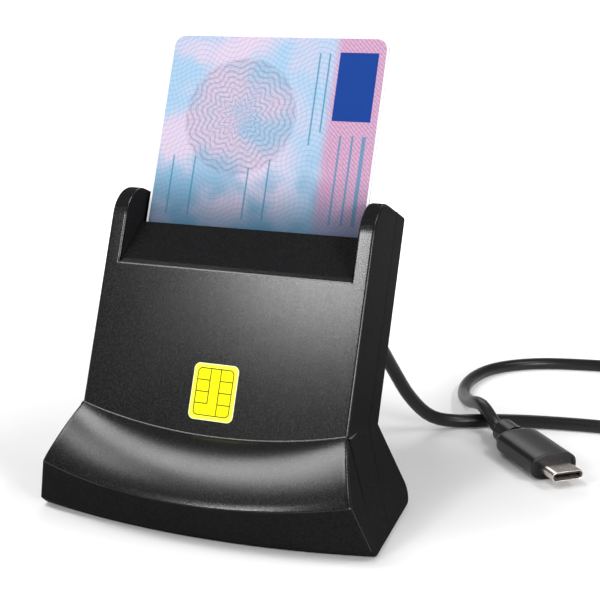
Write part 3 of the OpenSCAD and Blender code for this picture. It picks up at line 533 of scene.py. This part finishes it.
def halfSpace(name, near, far):
    # a block much larger than the shells, between two depths of the slab
    low, high = block["low"], block["high"]
    outline = np.array([(near, low), (far, low), (far, high), (near, high)], float)
    return slabPrism(name, outline, block["half"])


def seamLap(name, s, side, grow, low, high):
    # a thin strip inside one side wall that crosses the seam between two depths
    rise = np.array([s["lapLow"] - grow, s["lapBend"], s["top"] - s["lapDeep"] + grow])
    lean = math.radians(s["lean"])
    y = s["seam"] * math.cos(lean) + rise * math.sin(lean)
    z = rise * math.cos(lean) - s["seam"] * math.sin(lean)
    wall = np.maximum(s["halfW"], sideX(foot, y, z))
    x = side * np.concatenate([
        wall - s["lapDeep"] + grow, (wall - s["lapDeep"] - s["lapThick"] - grow)[::-1]])
    rise = np.concatenate([rise, rise[::-1]])
    return closedLoft(name, np.array([fromSlab(x, d, rise) for d in (low, high)]))


def makeShells(s):
    # each shell is its part of the slab joined with its part of the foot, then hollowed;
    # the front's lap sits in the rear's rebate and closes the seam
    middle, ear, outer, inner = frontOutlines(s)
    front = closedLoft("front_cover", slabRings(s, middle, ear, outer, inner, s["throat"]))
    middle, ear, outer = rearOutlines(s)
    rearSet = dict(s, innerRound=s["rearInnerRound"])
    rear = closedLoft("rear_cover", slabRings(
        rearSet, middle, ear, outer, np.zeros_like(outer), s["throat"] - s["tongueGap"]))
    for piece, near, far in (
            (front, block["ahead"], s["seam"] - s["gap"] / 2),
            (rear, s["seam"] + s["gap"] / 2, block["behind"])):
        part = makeFoot("footPart", foot)
        cut(part, halfSpace("side", near, far), "INTERSECT")
        cut(piece, part, "UNION")
        for space in hollowPieces(hollow):
            cut(piece, space)
    lap = s["seam"] + s["lapReach"]
    for side in (-1, 1):
        cut(front, seamLap("lap", s, side, 0, s["seam"] - s["lapRoot"], lap), "UNION")
        cut(rear, seamLap("rebate", s, side, s["lapPlay"], s["seam"], lap + s["lapPlay"]))
    return front, rear


front, rear = makeShells(shell)
for piece, node, finish in (
        (front, "front_shell", "shell_plastic"), (rear, "rear_shell", "rear_plastic")):
    sharpen(piece, shell["sharp"])
    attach(piece, "reader")
    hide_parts(node)
    print(piece.name, "has", len(piece.data.polygons), "faces")

# Badge: a film label in its shallow pocket, with a soft edge and a fine pressed border

badge = {
    "rise": 31.7, "wide": 10.7, "high": 12.5, "round": 1.4, "pocket": 0.3, "proud": 0.06,
    "edge": 0.05, "edgeShare": 0.3, "border": 0.42, "press": 0.02, "pressWide": 0.07, "sharp": 30,
    "inset": 1.1, "fieldRound": 1.0, "column": 1.2, "line": 0.23, "rimWide": 0.17,
    "yellow": (0.80, 0.77, 0.0005), "rim": (0.78, 0.78, 0.50), "dark": (0.03, 0.03, 0.002),
    "rough": 0.45, "grain": 0.02, "specular": 0.1, "outerTint": 0.1,
    "roundPoints": 9,
}


def roundedRing(wide, high, r, count):
    # four quarter circles of radius r, round the corners of a rectangle smaller by r all round
    a = np.radians(np.linspace(0, 90, count))
    turns = np.radians((0, 90, 180, 270))
    x = [q * (wide / 2 - r) + r * np.cos(a + t) for q, t in zip((1, -1, -1, 1), turns)]
    y = [q * (high / 2 - r) + r * np.sin(a + t) for q, t in zip((1, 1, -1, -1), turns)]
    return np.concatenate(x), np.concatenate(y)


def makeBadge(name, s):
    # rounded rectangles that step inwards: the side, the soft edge, the pressed border, the top
    top, edge, near = -s["proud"], s["edge"], s["edge"] * s["edgeShare"]
    border, side = s["border"], s["pressWide"]
    steps = [(0, s["pocket"]), (0, top + edge), (near, top + near), (edge, top),
             (border - side, top), (border, top + s["press"]), (border + side, top)]
    rings = []
    for inset, depth in steps:
        wide, high, r = s["wide"] - 2 * inset, s["high"] - 2 * inset, s["round"] - inset
        x, y = roundedRing(wide, high, r, s["roundPoints"])
        rings.append(fromSlab(x, depth, y + s["rise"]))
    return closedLoft(name, np.array(rings))


label = makeBadge("badge_label", badge)
sharpen(label, badge["sharp"])
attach(label, "reader")
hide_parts("contact_badge")
print("badge is in its pocket")

# Plug: t runs from its tail to its tip, w across it, h above its middle, in millimetres

plug = {
    "neckDia": 6.4, "neckLong": 7.2, "neckRound": 1.2, "cordHole": 1.9, "holeDeep": 0.5,
    "gripWide": 12.2, "gripThick": 6.6, "gripFrom": 7.0, "gripTo": 27.0, "gripPower": 2.7,
    "shoulder": 2.6, "shoulderIn": 1.5, "frontEdge": 0.28,
    "rimWide": 0.75, "rimDeep": 0.35, "rimSlope": 0.08,
    "shellWide": 8.25, "shellThick": 2.4, "shellFrom": 26.2, "shellTo": 33.65,
    "shellWall": 0.3, "shellRound": 0.12, "mouthDeep": 5.6,
    "points": 72, "shoulderPoints": 8, "gripPoints": 6, "edgePoints": 5, "mouthPoints": 7,
    "sharp": 28,
}


def fromPlug(t, w, h):
    # tail + t along + w across + h up, turned with the plug's yaw
    yaw = math.radians(cord["yaw"])
    along = np.array([math.cos(yaw), math.sin(yaw), 0])
    across = np.array([-math.sin(yaw), math.cos(yaw), 0])
    t, w, h = (np.asarray(v, float)[..., None] for v in np.broadcast_arrays(t, w, h))
    return (np.array(cord["tail"]) + along * t + across * w + np.array([0, 0, 1.0]) * h) * mm


def crownedOval(wide, thick, power, count):
    # a superellipse: |w/a|^n + |h/b|^n = 1
    a = np.linspace(0, 2 * math.pi, count, endpoint=False)
    c, q = np.cos(a), np.sin(a)
    w = wide / 2 * np.sign(c) * np.abs(c) ** (2 / power)
    h = thick / 2 * np.sign(q) * np.abs(q) ** (2 / power)
    return w, h


def flatOval(wide, thick, count):
    # two half circles joined by straight sides
    r, half = thick / 2, wide / 2 - thick / 2
    a = np.linspace(-90, 90, count // 2) * math.pi / 180
    w = np.concatenate([half + r * np.cos(a), -half - r * np.cos(a)])
    h = np.concatenate([r * np.sin(a), -r * np.sin(a)])
    return w, h


def quarter(count):
    # steps of a quarter round: how far in, and how far along, each from 0 to 1
    a = np.linspace(0, math.pi / 2, count)
    return 1 - np.cos(a), np.sin(a)


def makePlug(s):
    n = s["points"]
    rest, run = quarter(s["shoulderPoints"])
    # neck: a round sleeve with a soft tail and a small hole round the cord
    a = np.linspace(0, 2 * math.pi, n, endpoint=False)
    full, hole = s["neckDia"] / 2, s["cordHole"]
    t = np.r_[s["holeDeep"], 0.0, s["neckRound"] * rest, s["neckLong"]][:, None]
    r = np.r_[hole, hole, full - s["neckRound"] * (1 - run), full][:, None]
    neck = closedLoft("plug_sleeve", fromPlug(t, r * np.cos(a), r * np.sin(a)))
    # grip: an oval body with a rounded shoulder, a fine front edge and a sunk end face
    inset = list(s["shoulderIn"] * (1 - run))
    t = list(s["gripFrom"] + s["shoulder"] * rest)
    straight = np.linspace(t[-1], s["gripTo"] - s["frontEdge"], s["gripPoints"])[1:]
    t += list(straight)
    inset += [0] * len(straight)
    q = np.linspace(0, math.pi / 2, s["edgePoints"])[1:]
    t += list(s["gripTo"] - s["frontEdge"] * (1 - np.sin(q)))
    inset += list(s["frontEdge"] * (1 - np.cos(q)))
    t += [s["gripTo"], s["gripTo"] - s["rimDeep"]]
    inset += [s["rimWide"], s["rimWide"] + s["rimSlope"]]
    rings = []
    for k, i in zip(t, inset):
        w, h = crownedOval(s["gripWide"] - 2 * i, s["gripThick"] - 2 * i, s["gripPower"], n)
        rings.append(fromPlug(k, w, h))
    grip = closedLoft("plug_body", np.array(rings))
    # shell: a drawn steel tube with a rounded lip
    e, to = s["shellRound"], s["shellTo"]
    q = np.linspace(0, math.pi, s["mouthPoints"])
    t = [s["shellFrom"]] + list(to - e * (1 - np.sin(q))) + [to - s["mouthDeep"]]
    inset = [0] + list(s["shellWall"] / 2 * (1 - np.cos(q))) + [s["shellWall"]]
    rings = []
    for k, i in zip(t, inset):
        w, h = flatOval(s["shellWide"] - 2 * i, s["shellThick"] - 2 * i, n)
        rings.append(fromPlug(k, w, h))
    steel = closedLoft("plug_steel_tube", np.array(rings))
    return neck, grip, steel


neck, grip, steelTube = makePlug(plug)
for piece, node, finish in (
        (neck, "plug_neck", "plug_plastic"), (grip, "plug_grip", "plug_plastic"),
        (steelTube, "plug_shell", "plug_steel")):
    sharpen(piece, plug["sharp"])
    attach(piece, "reader")
    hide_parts(node)
print("plug is made")

# Materials


def shader(name):
    mat = bpy.data.materials.new(name)
    mat.use_nodes = True
    nodes, links = mat.node_tree.nodes, mat.node_tree.links
    return mat, nodes, links, nodes["Principled BSDF"]


grainLook = {
    "slowScale": 45, "slowDetail": 4, "fineDetail": 3, "bumpDeep": 0.0002,
    "driftSpan": (0.3, 0.7), "dark": 0.85, "pale": 1.2,
    # painted glints: paler spots of colour on the grain's tips
    "glintScale": 2200, "glintDetail": 1, "glintPale": 4.5, "glintFrom": 0.35, "glintTo": 0.7,
}


def noiseNode(nodes, links, place, scale, detail):
    node = nodes.new("ShaderNodeTexNoise")
    node.inputs["Scale"].default_value = scale
    node.inputs["Detail"].default_value = detail
    links.new(place, node.inputs["Vector"])
    return node.outputs["Fac"]


def spanNode(nodes, links, value, fromSpan, toSpan, soft=False):
    # a value taken from one span to another, and held at its ends
    node = nodes.new("ShaderNodeMapRange")
    if soft:
        node.interpolation_type = "SMOOTHSTEP"
    node.inputs["From Min"].default_value, node.inputs["From Max"].default_value = fromSpan
    node.inputs["To Min"].default_value, node.inputs["To Max"].default_value = toSpan
    links.new(value, node.inputs["Value"])
    return node.outputs["Result"]


def bumpNode(nodes, links, height, strength, deep):
    node = nodes.new("ShaderNodeBump")
    node.inputs["Strength"].default_value = strength
    node.inputs["Distance"].default_value = deep
    links.new(height, node.inputs["Height"])
    return node.outputs["Normal"]


def moulded(name, colour, rough, grain=0.05, scale=5200.0, spread=0.03, specular=0.5, paintedGlint=0.0):
    # moulded plastic: a fine spark-eroded grain, a slow drift in roughness and tone, and painted
    # glints on the grain's tips
    g = grainLook
    mat, nodes, links, bsdf = shader(name)
    place = nodes.new("ShaderNodeTexCoord").outputs["Object"]
    fine = noiseNode(nodes, links, place, scale, g["fineDetail"])
    slow = noiseNode(nodes, links, place, g["slowScale"], g["slowDetail"])
    links.new(bumpNode(nodes, links, fine, grain, g["bumpDeep"]), bsdf.inputs["Normal"])
    drift = calc(nodes, links, "MULTIPLY", calc(nodes, links, "ADD", fine, slow), 0.5)
    uneven = spanNode(nodes, links, drift, g["driftSpan"], (rough - spread, rough + spread))
    links.new(uneven, bsdf.inputs["Roughness"])
    dark = tuple(c * g["dark"] for c in colour)
    tone = tint(nodes, links, dark, [c * g["pale"] for c in colour], slow)
    if paintedGlint:
        # painted glints: paler colour where the texture's tips would catch the light
        tips = noiseNode(nodes, links, place, g["glintScale"], g["glintDetail"])
        share = spanNode(nodes, links, tips, (g["glintFrom"], g["glintTo"]), (0, paintedGlint))
        tone = tint(nodes, links, tone, [c * g["glintPale"] for c in colour], share)
    links.new(tone, bsdf.inputs["Base Color"])
    bsdf.inputs["Specular IOR Level"].default_value = specular
    return mat


platedLook = {"scale": 900, "detail": 2, "polish": 0.8, "dull": 1.3, "grain": 0.04, "deep": 0.0001}


def plated(name, colour, rough):
    # plated metal with a faint unevenness in its polish
    g = platedLook
    mat, nodes, links, bsdf = shader(name)
    place = nodes.new("ShaderNodeTexCoord").outputs["Object"]
    fine = noiseNode(nodes, links, place, g["scale"], g["detail"])
    uneven = spanNode(nodes, links, fine, (0, 1), (rough * g["polish"], rough * g["dull"]))
    links.new(uneven, bsdf.inputs["Roughness"])
    links.new(bumpNode(nodes, links, fine, g["grain"], g["deep"]), bsdf.inputs["Normal"])
    bsdf.inputs["Base Color"].default_value = (*colour, 1)
    bsdf.inputs["Metallic"].default_value = 1
    return mat


def calc(nodes, links, op, *values):
    # one Math node; each value is a socket or a number
    node = nodes.new("ShaderNodeMath")
    node.operation = op
    for k, value in enumerate(values):
        if isinstance(value, (int, float)):
            node.inputs[k].default_value = value
        else:
            links.new(value, node.inputs[k])
    return node.outputs["Value"]


def tint(nodes, links, base, colour, fac):
    # base colour socket mixed towards a plain colour by fac
    node = nodes.new("ShaderNodeMix")
    node.data_type = "RGBA"
    if isinstance(base, tuple):
        node.inputs["A"].default_value = (*base, 1)
    else:
        links.new(base, node.inputs["A"])
    node.inputs["B"].default_value = (*colour, 1)
    links.new(fac, node.inputs["Factor"])
    return node.outputs["Result"]


def slabPlace(nodes, links):
    # millimetres across the slab and up it
    lean = math.radians(shell["lean"])
    coord = nodes.new("ShaderNodeTexCoord")
    flat = nodes.new("ShaderNodeMapping")
    flat.inputs["Scale"].default_value = (1 / mm, 1 / mm, 1 / mm)
    flat.inputs["Rotation"].default_value = (lean, 0, 0)
    flat.inputs["Location"].default_value = (
        0, shell["originY"] * math.cos(lean), shell["originY"] * math.sin(lean))
    links.new(coord.outputs["Object"], flat.inputs["Vector"])
    parts = nodes.new("ShaderNodeSeparateXYZ")
    links.new(flat.outputs["Vector"], parts.inputs["Vector"])
    return parts.outputs["X"], parts.outputs["Z"]


def pastRounded(m, x, y, wide, high, r):
    # how far a point lies outside a rounded rectangle about zero, less than zero inside
    dx = m("SUBTRACT", m("ABSOLUTE", x), wide / 2 - r)
    dy = m("SUBTRACT", m("ABSOLUTE", y), high / 2 - r)
    px, py = m("MAXIMUM", dx, 0.0), m("MAXIMUM", dy, 0.0)
    far = m("SQRT", m("ADD", m("MULTIPLY", px, px), m("MULTIPLY", py, py)))
    return m("SUBTRACT", m("ADD", far, m("MINIMUM", m("MAXIMUM", dx, dy), 0.0)), r)


cardPrint = {
    "wide": 53.98, "low": 30.0, "high": 115.6, "round": 3.18, "rim": 0.5,
    "lilac": (0.47, 0.40, 0.50), "sky": (0.25, 0.39, 0.52), "rose": (0.46, 0.22, 0.32),
    "deepRose": (0.30, 0.06, 0.18), "teal": (0.03, 0.17, 0.28), "grey": (0.11, 0.11, 0.18),
    # the plain block, the white rim, and the colour of the painted shade near the slot
    "block": (0.001, 0.03, 0.19), "white": (0.62, 0.62, 0.64), "slotShade": (0.012, 0.055, 0.095),
    "cloudScale": 0.085, "skySpan": (0.36, 0.66), "skyPlace": (2, 12), "skyShare": 0.7,
    "tealPlace": (76, 92), "tealSpan": (0.40, 0.60), "tealShare": 0.45,
    "bandPlace": (14.2, 17.2), "bandWander": 2.0, "bandShare": 0.75, "waveEdge": (0.55, 0.95),
    "waves": {"bend": 0.42, "swing": 1.5, "pace": 5.2, "share": 0.22},
    "crossWaves": {"bend": 0.31, "swing": 1.9, "pace": 4.6, "stretch": 1.1, "share": 0.16},
    "hatch": {"pace": 6.3, "edge": (0.2, 0.9), "share": 0.5},
    "rosette": {"x": -7.0, "up": 96.0, "reach": 14.5, "soft": 1.2, "petals": 12.0,
                "swing": 0.7, "pace": 4.2, "edge": (0.1, 0.9), "ground": 0.16, "line": 0.36},
    # where and how strongly the painted shade near the slot is laid
    "slotShadePlace": (69.0, 84.5), "slotShadeShare": 0.86,
    "blockBox": (15.6, 24.8, 95.8, 111.8),
    "rules": [
        (18.0, 18.5, 72, 92.5), (20.9, 21.4, 72, 92.5), (23.4, 24.3, 72, 92.5),
        (10.6, 11.0, 90, 111.5), (13.0, 13.4, 93, 111.5), (-22.5, -22.1, 72, 86),
        (-17.0, -16.6, 72, 86), (-3.2, -2.8, 72, 84), (1.8, 2.2, 72, 86)],
    "ruleShare": 0.8, "rough": (0.5, 0.6), "roughScale": 3, "detail": 2, "specular": 0.1,
}


def printed(name, s):
    # fine wave lines over soft tones, a rose band, a rosette, a plain block and ruled lines
    mat, nodes, links, bsdf = shader(name)

    def m(op, *values):
        return calc(nodes, links, op, *values)

    def paintOn(base, colour, share):
        return tint(nodes, links, base, colour, share)

    def ramp(value, low, high, limit=1.0):
        return spanNode(nodes, links, value, (low, high), (0, limit), soft=True)

    x, up = slabPlace(nodes, links)
    place = nodes["Mapping"].outputs["Vector"]
    fog = noiseNode(nodes, links, place, s["cloudScale"], s["detail"])

    colour = paintOn(s["lilac"], s["sky"], ramp(fog, *s["skySpan"]))
    colour = paintOn(colour, s["sky"], m("MULTIPLY", ramp(x, *s["skyPlace"]), s["skyShare"]))
    low = m("SUBTRACT", 1.0, ramp(up, *s["tealPlace"]))
    cloud = ramp(fog, *s["tealSpan"], s["tealShare"])
    colour = paintOn(colour, s["teal"], m("MULTIPLY", low, cloud))
    band = ramp(m("ADD", x, m("MULTIPLY", fog, s["bandWander"])), *s["bandPlace"])
    colour = paintOn(colour, s["rose"], m("MULTIPLY", band, s["bandShare"]))

    # two families of wave lines that cross, and a slanting hatch in the rose band
    w = s["waves"]
    wave = m("MULTIPLY", m("SINE", m("MULTIPLY", x, w["bend"])), w["swing"])
    first = m("SINE", m("MULTIPLY", m("ADD", up, wave), w["pace"]))
    colour = paintOn(colour, s["teal"], ramp(first, *s["waveEdge"], w["share"]))
    w = s["crossWaves"]
    wave = m("MULTIPLY", m("SINE", m("MULTIPLY", up, w["bend"])), w["swing"])
    across = m("ADD", m("MULTIPLY", x, w["stretch"]), wave)
    second = m("SINE", m("MULTIPLY", across, w["pace"]))
    colour = paintOn(colour, s["deepRose"], ramp(second, *s["waveEdge"], w["share"]))
    w = s["hatch"]
    slant = m("SINE", m("MULTIPLY", m("ADD", x, up), w["pace"]))
    hatch = m("MULTIPLY", band, ramp(slant, *w["edge"], w["share"]))
    colour = paintOn(colour, s["deepRose"], hatch)

    # rosette: rings whose radius waves as it goes round
    q = s["rosette"]
    dx, dy = m("SUBTRACT", x, q["x"]), m("SUBTRACT", up, q["up"])
    far = m("SQRT", m("ADD", m("MULTIPLY", dx, dx), m("MULTIPLY", dy, dy)))
    petals = m("SINE", m("MULTIPLY", m("ARCTAN2", dy, dx), q["petals"]))
    inside = m("SUBTRACT", 1.0, ramp(far, q["reach"] - q["soft"], q["reach"]))
    rings = m("SINE", m("MULTIPLY", m("ADD", far, m("MULTIPLY", petals, q["swing"])), q["pace"]))
    colour = paintOn(colour, s["grey"], m("MULTIPLY", inside, q["ground"]))
    lines = ramp(rings, *q["edge"], q["line"])
    colour = paintOn(colour, s["grey"], m("MULTIPLY", inside, lines))

    def box(left, right, bottom, top):
        sides = [m("GREATER_THAN", x, left), m("LESS_THAN", x, right),
                 m("GREATER_THAN", up, bottom), m("LESS_THAN", up, top)]
        return m("MULTIPLY", m("MULTIPLY", sides[0], sides[1]), m("MULTIPLY", sides[2], sides[3]))

    colour = paintOn(colour, s["block"], box(*s["blockBox"]))
    for row in s["rules"]:
        colour = paintOn(colour, s["teal"], m("MULTIPLY", box(*row), s["ruleShare"]))

    # painted shade: the tones darken towards the end with the contact plate, where the card goes
    # into the slot
    slotShade = m("MULTIPLY", m("SUBTRACT", 1.0, ramp(up, *s["slotShadePlace"])), s["slotShadeShare"])
    colour = paintOn(colour, s["slotShade"], slotShade)

    middle, high = (s["low"] + s["high"]) / 2, s["high"] - s["low"]
    past = pastRounded(m, x, m("SUBTRACT", up, middle), s["wide"], high, s["round"])
    colour = paintOn(colour, s["white"], m("GREATER_THAN", past, -s["rim"]))
    links.new(colour, bsdf.inputs["Base Color"])
    fine = noiseNode(nodes, links, place, s["roughScale"], s["detail"])
    links.new(spanNode(nodes, links, fine, (0, 1), s["rough"]), bsdf.inputs["Roughness"])
    bsdf.inputs["Specular IOR Level"].default_value = s["specular"]
    return mat


def badgeFinish(name, s):
    # yellow film printed with a contact field's outline, its columns and their cross lines
    mat = moulded(name, s["yellow"], s["rough"], grain=s["grain"], specular=s["specular"])
    nodes, links = mat.node_tree.nodes, mat.node_tree.links
    bsdf = nodes["Principled BSDF"]

    def m(op, *values):
        return calc(nodes, links, op, *values)

    x, up = slabPlace(nodes, links)
    y = m("SUBTRACT", up, s["rise"])

    def near(value, at):
        return m("LESS_THAN", m("ABSOLUTE", m("SUBTRACT", value, at)), s["line"] / 2)

    def both(*values):
        total = values[0]
        for value in values[1:]:
            total = m("MULTIPLY", total, value)
        return total

    inset = 2 * s["inset"]
    wide, high = s["wide"] - inset, s["high"] - inset
    field = pastRounded(m, x, y, wide, high, s["fieldRound"])
    inside = m("LESS_THAN", field, 0.0)
    column, row = s["column"], high / 4
    marks = [near(field, 0.0), both(inside, near(x, column)),
             both(inside, near(x, -column), m("GREATER_THAN", y, -row))]
    for at in (-row, 0.0, row):
        marks.append(both(inside, near(y, at), m("GREATER_THAN", m("ABSOLUTE", x), column)))
    mark = marks[0]
    for other in marks[1:]:
        mark = m("MAXIMUM", mark, other)
    colour = bsdf.inputs["Base Color"].links[0].from_socket
    outer = m("MULTIPLY", m("SUBTRACT", 1.0, inside), s["outerTint"])
    colour = tint(nodes, links, colour, s["rim"], outer)
    colour = tint(nodes, links, colour, s["dark"], mark)
    rim = m("GREATER_THAN", pastRounded(m, x, y, s["wide"], s["high"], s["round"]), -s["rimWide"])
    colour = tint(nodes, links, colour, s["rim"], rim)
    links.new(colour, bsdf.inputs["Base Color"])
    return mat


finishes = {
    # the shell's glossy faces carry painted glints on the grain
    "shell_plastic": moulded(
        "shellPlastic", (0.0026, 0.0026, 0.0028), 0.21, grain=0.03, specular=0.3, paintedGlint=1.0),
    "rear_plastic": moulded(
        "rearPlastic", (0.0055, 0.0055, 0.006), 0.36, grain=0.03, specular=0.26),
    "plated_steel": plated("platedSteel", (0.62, 0.61, 0.59), 0.3),
    "foot_rubber": moulded("footRubber", (0.012, 0.012, 0.012), 0.8, grain=0.2, scale=900),
    "badge_yellow": badgeFinish("badgeYellow", badge),
    "board_green": moulded("boardGreen", (0.01, 0.1, 0.04), 0.3),
    "chip_black": moulded("chipBlack", (0.015, 0.015, 0.016), 0.5, grain=0.1),
    "ceramic_tan": moulded("ceramicTan", (0.35, 0.25, 0.14), 0.5),
    "inner_plastic": moulded("innerPlastic", (0.016, 0.016, 0.017), 0.5),
    "gold_plate": plated("goldPlate", (0.83, 0.62, 0.25), 0.25),
    "cream_plastic": moulded("creamPlastic", (0.75, 0.71, 0.6), 0.45),
    "red_plastic": moulded("redPlastic", (0.5, 0.03, 0.02), 0.4),
    "wire_red": moulded("wireRed", (0.5, 0.04, 0.03), 0.45),
    "cable_rubber": moulded(
        "cableRubber", (0.007, 0.007, 0.0074), 0.33, grain=0.04, scale=3000, specular=0.3),
    "plug_plastic": moulded(
        "plugPlastic", (0.007, 0.007, 0.0074), 0.33, grain=0.04, scale=4000, specular=0.32),
    "plug_steel": plated("plugSteel", (0.62, 0.57, 0.54), 0.24),
    "card_print": printed("cardPrint", cardPrint),
}

matte = {
    # the dull faces carry weaker painted glints on the grain
    "finish": moulded("shellSide", (0.007, 0.007, 0.0074), 0.48, specular=0.004, paintedGlint=0.2),
    "sideways": 0.88, "upright": 0.1, "throatFrom": 0.5, "earLevel": 0.58, "earSideways": 0.2,
}


def matteSides(piece, s):
    # the sides, the skirt, the throat and the ears' tops keep the tool's coarser texture
    mesh = piece.data
    mesh.materials.append(s["finish"])
    ways = np.empty(len(mesh.polygons) * 3)
    mesh.polygons.foreach_get("normal", ways)
    across, up = np.abs(ways[0::3]), ways[2::3]
    spots = np.empty(len(mesh.polygons) * 3)
    mesh.polygons.foreach_get("center", spots)
    x, y, z = spots.reshape(-1, 3).T / mm
    lean = math.radians(shell["lean"])
    deep = (y + shell["originY"]) * math.cos(lean) - z * math.sin(lean)
    rise = (y + shell["originY"]) * math.sin(lean) + z * math.cos(lean)
    ahead = deep < shell["seam"]
    between = (np.abs(x) < shell["throat"]) & (deep > s["throatFrom"])
    throat = ahead & between & (rise > shell["lip"])
    high = rise > shell["top"] - shell["earRound"]
    earTop = ahead & high & (across < s["earSideways"]) & (up > s["earLevel"])
    dull = (across > s["sideways"]) | (up < s["upright"]) | throat | earTop
    mesh.polygons.foreach_set("material_index", dull.astype(int))


def paint(piece, finish):
    # one finish for the whole piece
    piece.data.materials.clear()
    piece.data.materials.append(finishes[finish])


slots = {p["node"]: p["material_slot"] for p in frame["record"]["subparts"]}
for node, piece in frame["nodes"].items():
    paint(piece, slots[node])
paint(front, "shell_plastic")
paint(rear, "rear_plastic")
matteSides(front, matte)
matteSides(rear, matte)
for piece, finish in (
        (cable, "cable_rubber"), (label, "badge_yellow"), (neck, "plug_plastic"),
        (grip, "plug_plastic"), (steelTube, "plug_steel")):
    paint(piece, finish)
print("materials are on")

# Floor and light

stage = {
    "size": 40.0, "white": 0.76, "rough": 0.7, "specular": 0.2,
    "nearGlow": 0.03, "farGlow": 1.0, "nearEdge": 0.07, "farEdge": 0.35,
    "horizon": 1.0, "ceiling": 0.2, "lowEdge": 0.03, "highEdge": 0.22,
}

# each lamp: place, what it faces, the way of its width, width, height, and its brightness
# against a lit white sheet
lamps = {
    "front": ((-0.232, -0.60, 0.434), (0.02, -0.01, 0.04), (1, 0, 0), 0.114, 0.116, 41.0),
    "over": ((-0.18, -0.173, 0.60), (0.0, -0.04, 0.02), (1, -0.862, 0), 0.342, 0.122, 15.4),
    "left": ((-0.441, -0.191, 0.55), (-0.02, -0.03, 0.02), (1, 0, 0), 0.196, 0.143, 12.7),
    "right": ((0.56, -0.36, 0.25), (0.02, 0.0, 0.04), (-0.54, -0.84, 0), 0.34, 0.14, 14.0),
    "edge": ((0.55, -0.41, 0.165), (0.03, 0.0, 0.05), (-0.6, -0.8, 0), 0.12, 0.12, 30.0),
    "rim": ((0.48, 0.0, 0.56), (0.03, -0.02, 0.02), (-0.15, 1, 0), 0.42, 0.05, 24.0),
    "back": ((-0.25, 0.60, 0.50), (0.0, 0.0, 0.03), (1, 0, 0), 0.5, 0.3, 2.5),
}


def makeLamp(name, place, target, along, width, height, level):
    # an area lamp's radiance is its power / (pi x area)
    data = bpy.data.lights.new(name, "AREA")
    data.shape = "RECTANGLE"
    data.size, data.size_y = width, height
    data.energy = level * math.pi * width * height
    back = (Vector(place) - Vector(target)).normalized()
    side = Vector(along)
    side = (side - back * side.dot(back)).normalized()
    lamp = bpy.data.objects.new(name, data)
    lamp.location = place
    lamp.rotation_mode = "QUATERNION"
    lamp.rotation_quaternion = Matrix((side, back.cross(side), back)).transposed().to_quaternion()
    bpy.context.scene.collection.objects.link(lamp)


def seenRays(nodes, links):
    # 1 for camera, glossy and transmission rays, else 0
    path = nodes.new("ShaderNodeLightPath").outputs
    seen = calc(nodes, links, "MAXIMUM", path["Is Camera Ray"], path["Is Glossy Ray"])
    return calc(nodes, links, "MAXIMUM", seen, path["Is Transmission Ray"])


def makeFloor(s):
    # a level sheet that turns to white with distance, as a lit studio sweep does
    h = s["size"] / 2
    points = np.array([(-h, -h, 0), (h, -h, 0), (h, h, 0), (-h, h, 0)], float)
    floor = meshFrom("floor", points, [[0, 1, 2, 3]], smooth=False)
    mat, nodes, links, bsdf = shader("floorPaper")
    bsdf.inputs["Base Color"].default_value = (*[s["white"]] * 3, 1)
    bsdf.inputs["Roughness"].default_value = s["rough"]
    bsdf.inputs["Specular IOR Level"].default_value = s["specular"]
    coord = nodes.new("ShaderNodeTexCoord")
    far = nodes.new("ShaderNodeVectorMath")
    far.operation = "LENGTH"
    links.new(coord.outputs["Object"], far.inputs[0])
    edges, glows = (s["nearEdge"], s["farEdge"]), (s["nearGlow"], s["farGlow"])
    glow = spanNode(nodes, links, far.outputs["Value"], edges, glows)
    shown = calc(nodes, links, "MULTIPLY", glow, seenRays(nodes, links))
    bsdf.inputs["Emission Color"].default_value = (1, 1, 1, 1)
    links.new(shown, bsdf.inputs["Emission Strength"])
    floor.data.materials.append(mat)


def makeWorld(s):
    # a bright studio wall round the horizon under a dimmer ceiling
    world = bpy.data.worlds.new("studio")
    bpy.context.scene.world = world
    world.use_nodes = True
    nodes, links = world.node_tree.nodes, world.node_tree.links
    back = nodes["Background"]
    back.inputs["Color"].default_value = (1, 1, 1, 1)
    coord = nodes.new("ShaderNodeTexCoord")
    parts = nodes.new("ShaderNodeSeparateXYZ")
    links.new(coord.outputs["Generated"], parts.inputs["Vector"])
    edges, levels = (s["lowEdge"], s["highEdge"]), (s["horizon"], s["ceiling"])
    strength = spanNode(nodes, links, parts.outputs["Z"], edges, levels, soft=True)
    links.new(strength, back.inputs["Strength"])


makeFloor(stage)
makeWorld(stage)
for name, row in lamps.items():
    makeLamp(name, *row)
bpy.context.scene.view_settings.view_transform = "Standard"
print("stage is lit")
